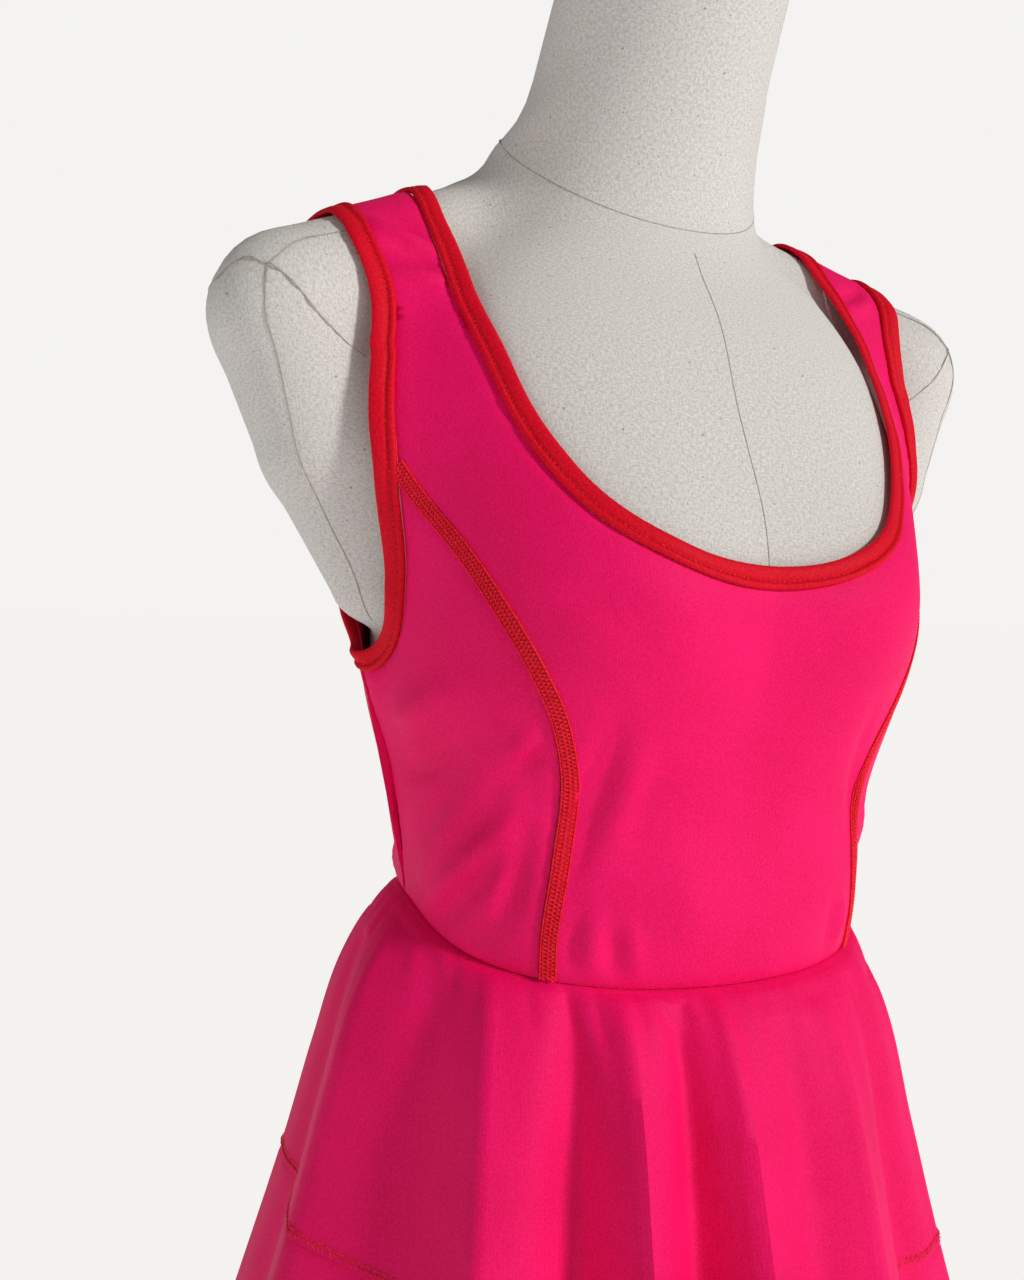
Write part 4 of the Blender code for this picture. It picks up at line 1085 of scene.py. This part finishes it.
def make_skirt():
    """Four tiers; their rows of points lie closer together near a seam."""
    spans = {"front": (-SIDE_SEAM, SIDE_SEAM), "back": (SIDE_SEAM, ROUND - SIDE_SEAM)}
    near_waist = np.concatenate([np.arange(SEAM_GAP, 9, 1.2), np.arange(10, 40, ROW_STEP * 0.6)])
    upper = np.concatenate([near_waist, np.arange(41, SKIRT_LENGTH - 5, ROW_STEP),
                            SKIRT_LENGTH - np.array([4.4, 3.2, 2.2, 1.4, 0.7, SEAM_GAP / 2])])
    lower = np.concatenate([SKIRT_LENGTH + np.array([SEAM_GAP / 2, 0.8, 1.6, 2.6, 3.8]),
                            np.arange(SKIRT_LENGTH + 6, HEM - 2, ROW_STEP), [HEM - 1, HEM]])
    pieces = {}
    for word, span in spans.items():
        pieces["skirt_" + word] = skirt_tier(
            f"jersey_skirt_{word}", span, upper, SKIRT_DIPS, f"skirt_{word}")
        pieces["tier_" + word] = skirt_tier(
            f"jersey_tier_{word}", span, lower, TIER_DIPS, f"flounce_{word}")
    return pieces


skirt = make_skirt()
print({name: len(piece.data.polygons) for name, piece in skirt.items()})

# %% [markdown]
# ## The form itself
# The linen cover is one smooth skin.  Its points start on the rings and are then
# evened out over the surface, because the rays meet the round caps at a slant.
# The UV map holds true lengths round and up the form, so that the weave keeps its
# scale from the chest to the neck.

# %% Linen form
# share of the rings, up to which level; there are more where the caps are round
FORM_LEVELS = ((0, -280.0), (0.2, 60), (0.75, 300), (0.9, 400), (1, 552.0))
FORM_COLUMNS = 180
FORM_ROWS = 150
FORM_EVENING, FORM_SHARP_EDGE = 24, 50.0


def even_out(rings):
    for _ in range(FORM_EVENING):
        beside = np.roll(rings, 1, axis=1) + np.roll(rings, -1, axis=1)
        moved = (rings[1:-1] + (beside[1:-1] + rings[:-2] + rings[2:]) / 4) / 2
        for _ in range(2):
            moved = moved - form_field(moved)[..., None] * field_normal(moved, FORM_SKIN)
        rings[1:-1] = moved
    return rings


def edit_mesh(piece, change):
    """Run one bmesh operation on a piece."""
    shape = bmesh.new()
    shape.from_mesh(piece.data)
    change(shape)
    shape.to_mesh(piece.data)
    shape.free()


def make_form():
    across = np.linspace(-ROUND / 2, ROUND / 2, FORM_COLUMNS + 1)[:-1]
    levels = np.interp(np.linspace(0, 1, FORM_ROWS), *zip(*FORM_LEVELS))
    rings = even_out(form_point(ring_angle(across)[None, :], levels[:, None]))
    around = np.linalg.norm(np.roll(rings, -1, axis=1) - rings, axis=-1)
    start = np.concatenate([np.zeros((len(rings), 1)), np.cumsum(around, axis=1)], axis=1)
    u = start - start[:, FORM_COLUMNS // 2][:, None]
    up = np.linalg.norm(np.diff(rings, axis=0), axis=-1).mean(axis=1)
    v = np.broadcast_to(np.concatenate([[0], np.cumsum(up)])[:, None], u.shape)
    seamed = np.concatenate([rings, rings[:, :1]], axis=1)    # first column again, for the UV map
    index = np.arange(u.size).reshape(u.shape)
    faces = np.stack([index[:-1, :-1], index[:-1, 1:], index[1:, 1:], index[1:, :-1]], axis=-1)
    faces = [*faces.reshape(-1, 4).tolist(), index[0, :-1][::-1].tolist(), index[-1, :-1].tolist()]
    flat = np.stack([u, v], axis=-1).reshape(-1, 2)
    piece = add_piece("linen_form", seamed.reshape(-1, 3), faces, LINEN, flat)
    edit_mesh(piece, lambda shape: bmesh.ops.remove_doubles(shape, verts=shape.verts, dist=0.00001))
    piece.data.shade_smooth()
    piece.data.set_sharp_from_angle(angle=math.radians(FORM_SHARP_EDGE))
    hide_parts("form_body")
    return piece


form = make_form()
print("form faces:", len(form.data.polygons))

# %% [markdown]
# ## Seams of the linen cover
# The cover is sewn from panels.  Its seams show as thin raised lines of flax
# thread: round the neck, down the centre and over the shoulder caps.  Each line
# is given by a few points, drawn on to the form and made into a fine cord.

# %% Cover seams
SEAM_CORD, SEAM_SINK = 0.34, 0.1      # radius of the cord, and how deep its middle lies
COVER_SEAM_STEP, COVER_SEAM_STEPS = 2.0, 20


def on_form(points):
    points = np.array(points, float)
    for _ in range(4):
        points = points - form_field(points)[:, None] * field_normal(points, FORM_SKIN)
    return points


def cord_mesh(lines, radius, sides=6):
    """Points and faces of round cords along lines, closed at their ends."""
    turns = 2 * np.pi * np.arange(sides)[:, None] / sides
    points, faces = [], []
    for line in lines:
        out = field_normal(line, FORM_SKIN)
        side = np.cross(unit(np.gradient(line, axis=0)), out)
        circle = np.cos(turns) * side[:, None] + np.sin(turns) * out[:, None]
        rows = line[:, None] + radius * circle
        faces += [[len(points) + i for i in face] for face in tube_faces(rows, closed=False)]
        points.extend(rows.reshape(-1, 3))
    return points, faces


CAP_SEAMS = (
    ((-149, -3, 295), (-170, -9, 288), (-185, -12, 276), (-192, -2, 279), (-201, 13, 271),
     (-196, 36, 268)),
    ((-185, -12, 276), (-188, -16, 263), (-188, -17, 251), (-182, -15, 235), (-174, -10, 216),
     (-167, -8, 195), (-155, -7, 170), (-144, -7, 149), (-133, -2, 127)),
    ((-185, -12, 276), (-176, -20, 267), (-167, -25, 256), (-155, -24, 247), (-143, -19, 240)),
)
CENTRE_SEAMS = (
    ((0, -51, 296), (2, -66, 262), (-1, -88, 222), (1, -104, 180), (0, -112, 150)),
    ((0, 100, 300), (0, 108, 270), (0, 112, 240)),
)
# the seam round the root of the neck: half width, half depth, half height, slope of its plane
NECK_SEAM = (60, 62, 44, 0.71)


def neck_seam():
    half_width, half_depth, half_height, slope = NECK_SEAM
    turns = np.radians(np.arange(0, 361, 5))
    ring = on_form(np.stack([
        half_width * np.sin(turns), NECK_CENTRE_Y - half_depth * np.cos(turns),
        NECK_ROOT_HEIGHT - half_height * np.cos(turns)], axis=-1))
    for _ in range(6):                # keep it on its slanting plane
        ring[:, 2] = NECK_ROOT_HEIGHT + slope * ring[:, 1]
        ring = on_form(ring)
    return ring


def make_cover_seams():
    drawn = [np.array(seam) * (mirror, 1, 1) for mirror in (1, -1) for seam in CAP_SEAMS]
    lines = [on_form(smooth_line(line, COVER_SEAM_STEP, steps=COVER_SEAM_STEPS))
             for line in (*drawn, *CENTRE_SEAMS, neck_seam())]
    lines = [line - SEAM_SINK * field_normal(line, FORM_SKIN) for line in lines]
    points, faces = cord_mesh(lines, SEAM_CORD)
    piece = add_piece("cover_seams", points, faces, SEAM_BROWN)
    return piece


print("cover seam faces:", len(make_cover_seams().data.polygons))

# %% [markdown]
# ## Stitches with Geometry Nodes
# A stitch is a short bulge of thread, repeated thousands of times, so one small
# node tree sets a stitch on every point of a mesh.  The points carry two vectors:
# `along`, the way the thread runs, and `out`, away from the cloth.

# %% Stitch tree
def stitch_tree():
    tree = bpy.data.node_groups.new("stitches_on_points", "GeometryNodeTree")
    face = tree.interface
    face.new_socket(name="Geometry", in_out="INPUT", socket_type="NodeSocketGeometry")
    for name, default in (("Stitch Length", 0.002), ("Thread Thickness", 0.0005)):
        socket = face.new_socket(name=name, in_out="INPUT", socket_type="NodeSocketFloat")
        socket.default_value = default
    face.new_socket(name="Thread", in_out="INPUT", socket_type="NodeSocketMaterial")
    face.new_socket(name="Geometry", in_out="OUTPUT", socket_type="NodeSocketGeometry")
    inputs = add_node(tree, "NodeGroupInput").outputs
    vector = {"data_type": "FLOAT_VECTOR"}
    along = add_node(tree, "GeometryNodeInputNamedAttribute", vector, {"Name": "along"})
    out = add_node(tree, "GeometryNodeInputNamedAttribute", vector, {"Name": "out"})
    axes = {"primary_axis": "X", "secondary_axis": "Z"}
    turn = add_node(tree, "FunctionNodeAxesToRotation", axes, {
        "Primary Axis": along.outputs["Attribute"], "Secondary Axis": out.outputs["Attribute"]})
    bead = add_node(tree, "GeometryNodeMeshUVSphere", inputs={
        "Segments": 6, "Rings": 5, "Radius": 0.5})
    thickness = inputs["Thread Thickness"]
    size = add_node(tree, "ShaderNodeCombineXYZ", inputs={
        "X": inputs["Stitch Length"], "Y": thickness, "Z": thickness})
    lying = add_node(tree, "GeometryNodeTransform", inputs={
        "Geometry": bead.outputs["Mesh"], "Rotation": (0, math.pi / 2, 0)})
    drawn = add_node(tree, "GeometryNodeTransform", inputs={
        "Geometry": lying.outputs["Geometry"], "Scale": size.outputs["Vector"]})
    many = add_node(tree, "GeometryNodeInstanceOnPoints", inputs={
        "Points": inputs["Geometry"], "Instance": drawn.outputs["Geometry"],
        "Rotation": turn.outputs["Rotation"]})
    real = add_node(tree, "GeometryNodeRealizeInstances", inputs={
        "Geometry": many.outputs["Instances"]})
    smooth = add_node(tree, "GeometryNodeSetShadeSmooth", inputs={
        "Geometry": real.outputs["Geometry"]})
    painted = add_node(tree, "GeometryNodeSetMaterial", inputs={
        "Geometry": smooth.outputs["Geometry"], "Material": inputs["Thread"]})
    add_node(tree, "NodeGroupOutput", inputs={"Geometry": painted.outputs["Geometry"]})
    return tree


STITCHES = stitch_tree()
print("stitch tree nodes:", len(STITCHES.nodes))


# %% Sewing
def sew(name, points, along, out, length, thickness, thread):
    """Set red stitches (mm) on points and turn the result into a plain mesh."""
    mesh = bpy.data.meshes.new(name)
    mesh.from_pydata(place(points).tolist(), [], [])
    for key, values in (("along", along), ("out", out)):
        attribute = mesh.attributes.new(key, "FLOAT_VECTOR", "POINT")
        attribute.data.foreach_set("vector", np.asarray(values, np.float32).ravel())
    piece = new_object(name, mesh)
    modifier = piece.modifiers.new("stitches", "NODES")
    modifier.node_group = STITCHES
    sockets = {item.name: item.identifier for item in STITCHES.interface.items_tree
               if item.in_out == "INPUT"}
    modifier[sockets["Stitch Length"]] = length / 1000
    modifier[sockets["Thread Thickness"]] = thickness / 1000
    modifier[sockets["Thread"]] = thread
    evaluated = piece.evaluated_get(bpy.context.evaluated_depsgraph_get())
    piece.data = bpy.data.meshes.new_from_object(evaluated)
    piece.modifiers.clear()
    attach(piece, "root")
    print(name, "has", len(points), "stitches")
    return piece


# %% [markdown]
# ## Coverstitch on the princess seams
# The princess seams are sewn flat and covered with a band of red thread about 8 mm
# wide, on the centre panel's side.  Needle threads run along it and a looper thread
# crosses them, which reads as a dense lattice.  A low ribbon carries the stitches.

# %% Coverstitch bands
# reach from the seam, height off the inside of the cloth
BAND_SECTION = (
    (0.35, 1.2), (0.5, 1.75), (1.2, 1.95), (4.2, 2.0), (7.2, 1.95), (7.9, 1.7), (8.1, 1.2),
    (4.2, 1.1),
)
SEAM_POINT_STEP, LATTICE_STEP = 0.35, 1.75
RIBBON_POINTS = slice(1, -2, 6)       # the ribbon needs only every sixth point of the seam
LATTICE_HEIGHT = 2.15
LATTICE_THREAD = (2.4, 0.7)           # length and thickness
# the lattice: reach of each thread's middle, how far it leans along the seam
LATTICE_LANES = (
    (0.85, 8.0), (2.3, 0.7), (2.3, -0.7), (4.2, 0.7), (4.2, -0.7), (6.1, 0.7), (6.1, -0.7),
    (7.6, 8.0),
)


def seam_frame(side):
    """Points, normals, directions along and across (to the centre panel) of a princess seam."""
    flat = PRINCESS_SEAMS[side]
    flat = np.vstack([flat[0] + 2.0 * (flat[0] - flat[1]), flat])    # under the armhole's band
    flat = even_points(flat, SEAM_POINT_STEP, measured=bodice_base(flat)[0])
    base, normal = bodice_base(flat)
    along = unit(np.gradient(base, axis=0))
    across = np.cross(normal, along)
    across *= np.sign(np.sum(across * (-side, 0, 0)))
    return flat, base, normal, along, across


def beside_seam(seam, reach, height, side):
    """Points `reach` from the seam and `height` off the cloth's inner face, creases included."""
    flat, base, normal, _, across = seam
    clear = cloth_clearance(ring_angle(flat[:, 0]), flat[:, 1])
    point = base + reach * across
    for _ in range(2):
        point = point - (form_field(point, CLOTH_SKIN) - clear)[:, None] * field_normal(point)
    lift = crease_lift(flat - (side * reach, 0)) * (1 - bell(reach, 0, CREASE_FREE))
    return point + (height + lift)[:, None] * normal


def make_coverstitch(side, word):
    seam = seam_frame(side)
    _, _, normal, along, across = seam
    rows = np.stack([beside_seam(seam, reach, height, side)[RIBBON_POINTS]
                     for reach, height in BAND_SECTION], axis=1)
    ribbon = add_piece(f"coverstitch_ribbon_{word}", rows.reshape(-1, 3),
                       tube_faces(rows, closed=False), SEAM_RIBBON)
    edit_mesh(ribbon, lambda shape: bmesh.ops.recalc_face_normals(shape, faces=shape.faces))
    points, ways, outs = [], [], []
    step = round(LATTICE_STEP / SEAM_POINT_STEP)
    for lane, (reach, lean) in enumerate(LATTICE_LANES):
        places = beside_seam(seam, reach, LATTICE_HEIGHT, side)
        chosen = np.arange(2 + lane % 4, len(places) - 3, step)
        points.append(places[chosen])
        ways.append(across[chosen] + lean * along[chosen])
        outs.append(normal[chosen])
    lattice = sew(f"coverstitch_threads_{word}", np.vstack(points), np.vstack(ways),
                  np.vstack(outs), *LATTICE_THREAD, SEAM_THREAD)
    return ribbon, lattice


coverstitch = {word: make_coverstitch(side, word) for side, word in ((-1, "right"), (1, "left"))}

# %% [markdown]
# ## Stitches of the bindings and the tier seam
# The binding is held by one line of stitches in its ditch, 2.4 mm apart.  The join
# of the lower tier shows two leaning rows on the skirt's edge.

# %% Binding and tier stitches
BINDING_PITCH, TIER_PITCH = 2.4, 2.0
BINDING_STITCH, TIER_STITCH = (1.5, 0.5), (2.3, 0.55)      # length and thickness
BINDING_STITCH_HEIGHT = 2.0
TIER_ROWS = ((1.6, 0.8), (3.3, -0.8))                      # above the join, lean
TIER_STITCH_HEIGHT, SIDE_CLEAR, FINE_STEP = 0.1, 1.5, 0.5


def sew_binding(word):
    line, opening = band_lines[word]
    ditch = (DITCH * BAND_WIDTHS[word] / SECTION_WIDTH, BINDING_STITCH_HEIGHT)
    row = binding_points(line, opening, [ditch])[:, 0]
    row = even_points(np.vstack([row, row[:1]]), BINDING_PITCH, closed=True)
    along = np.roll(row, -1, axis=0) - np.roll(row, 1, axis=0)
    return sew(f"binding_stitches_{word}", row, along, field_normal(row), *BINDING_STITCH, THREAD)


def sew_tier_seam():
    points, ways, outs = [], [], []
    fine = np.arange(-SIDE_SEAM + 1, ROUND - SIDE_SEAM - 1, FINE_STEP)
    fine = fine[np.abs(np.abs(fine - ROUND / 2) - (ROUND / 2 - SIDE_SEAM)) > SIDE_CLEAR]
    for row, (above, lean) in enumerate(TIER_ROWS):
        middle, normal = skirt_surface(fine, np.full(len(fine), SKIRT_LENGTH - above))
        dip = SKIRT_DIPS[1] * bell(above, 0, EDGE_DIP_WIDTH)
        surface = middle + (SKIRT_OUT - dip + TIER_STITCH_HEIGHT) * normal
        lengths = run_length(surface)
        chosen = np.searchsorted(
            lengths, np.arange(TIER_PITCH * (0.5 + row / 2), lengths[-1] - 1, TIER_PITCH))
        along = unit(np.gradient(surface, axis=0)[chosen])
        points.append(surface[chosen])
        ways.append(along + lean * np.cross(along, normal[chosen]))
        outs.append(normal[chosen])
    return sew("tier_seam_stitches", np.vstack(points), np.vstack(ways), np.vstack(outs),
               *TIER_STITCH, THREAD)


binding_stitches = {word: sew_binding(word) for word in bands}
tier_stitches = sew_tier_seam()

# %% [markdown]
# ## The stand
# The foot, pole and collar are turned steel, and their solids already have the
# right shape, so they only need their finish.

# %% Stand
for node in ("stand_collar", "stand_pole", "stand_base"):
    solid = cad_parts[node]
    solid.data.materials.clear()
    solid.data.materials.append(STEEL)
    print(node, "is", STEEL.name)

# %% [markdown]

# %% [markdown]
# ## Floor, light and camera
# The floor and the sky have the same pale tone, so that no horizon shows.  A soft
# sun from the wearer's left, in front and above, models the folds, and a weak one
# from the right opens their shadows.  Camera rays meet the sky at full strength,
# while the cloth gets little of it, so that its folds keep their depth.

# %% Floor
PAPER = "#F4F3F1"
FLOOR_HALF, FLOOR_HEIGHT = 60.0, -0.0005        # metres
FLOOR_GLOW, SKY_LIGHT = 0.86, 0.16


def make_floor():
    material, _, shader = new_material("pale_paper", Roughness=0.95, Specular_IOR_Level=0.0)
    shader.inputs["Base Color"].default_value = linear("#8F8E8D")
    shader.inputs["Emission Color"].default_value = linear(PAPER)
    shader.inputs["Emission Strength"].default_value = FLOOR_GLOW
    corners = [(x * FLOOR_HALF, y * FLOOR_HALF, FLOOR_HEIGHT)
               for x, y in ((-1, -1), (1, -1), (1, 1), (-1, 1))]
    mesh = bpy.data.meshes.new("pale_floor")
    mesh.from_pydata(corners, [], [(0, 1, 2, 3)])
    mesh.materials.append(material)
    new_object("pale_floor", mesh)


make_floor()
print("floor:", 2 * FLOOR_HALF, "m across")


# %% Lights
def soft_sun(name, direction, strength, spread, colour):
    light = bpy.data.lights.new(name, "SUN")
    light.energy = strength
    light.angle = math.radians(spread)
    light.color = linear(colour)[:3]
    new_object(name, light).rotation_euler = Vector(direction).to_track_quat("-Z", "Y").to_euler()


def make_sky():
    world = bpy.data.worlds.new("pale_sky")
    world.use_nodes = True
    tree = world.node_tree
    seen = add_node(tree, "ShaderNodeLightPath").outputs["Is Camera Ray"]
    strength = add_node(tree, "ShaderNodeMapRange", inputs={
        "Value": seen, "To Min": SKY_LIGHT, "To Max": 1.0})
    sky = tree.nodes["Background"]
    sky.inputs["Color"].default_value = linear(PAPER)
    tree.links.new(strength.outputs["Result"], sky.inputs["Strength"])
    bpy.context.scene.world = world


soft_sun("key", (-0.50, 0.77, -0.42), 2.1, 11.0, "#FFFCF8")
soft_sun("fill", (0.88, 0.05, -0.45), 0.26, 30.0, "#FFFAF4")
make_sky()
print("lights:", [thing.name for thing in bpy.data.lights])
bpy.context.scene.view_settings.view_transform = "Standard"    # colours as picked, pink kept pure

# %% Camera
CAMERA_PLACE = (-336.69, -571.19, 139.8)
CAMERA_TURN, CAMERA_DOWN, CAMERA_ROLL = (math.radians(a) for a in (-25.6, 1.89, 1.32))
FOCAL_PIXELS, IMAGE_HEIGHT, SENSOR = 1360.06, 1280, 36.0
NEAREST_SEEN = 0.02


def make_camera():
    level = np.array([math.cos(CAMERA_TURN), math.sin(CAMERA_TURN), 0.0])
    ahead = np.array([-level[1], level[0], 0.0]) * math.cos(CAMERA_DOWN)
    look = ahead - (0, 0, math.sin(CAMERA_DOWN))
    up = np.cross(level, look)
    right = math.cos(CAMERA_ROLL) * level + math.sin(CAMERA_ROLL) * up
    top = -math.sin(CAMERA_ROLL) * level + math.cos(CAMERA_ROLL) * up
    lens = bpy.data.cameras.new("camera")
    lens.sensor_width = SENSOR
    lens.lens = FOCAL_PIXELS * SENSOR / IMAGE_HEIGHT
    lens.clip_start = NEAREST_SEEN
    camera = new_object("camera", lens)
    rows = zip(np.stack([right, top, -look], axis=1), place(CAMERA_PLACE))
    camera.matrix_world = Matrix([*((*row, at) for row, at in rows), (0, 0, 0, 1)])
    bpy.context.scene.camera = camera
    return camera


camera = make_camera()
print("lens:", round(camera.data.lens, 2), "mm")
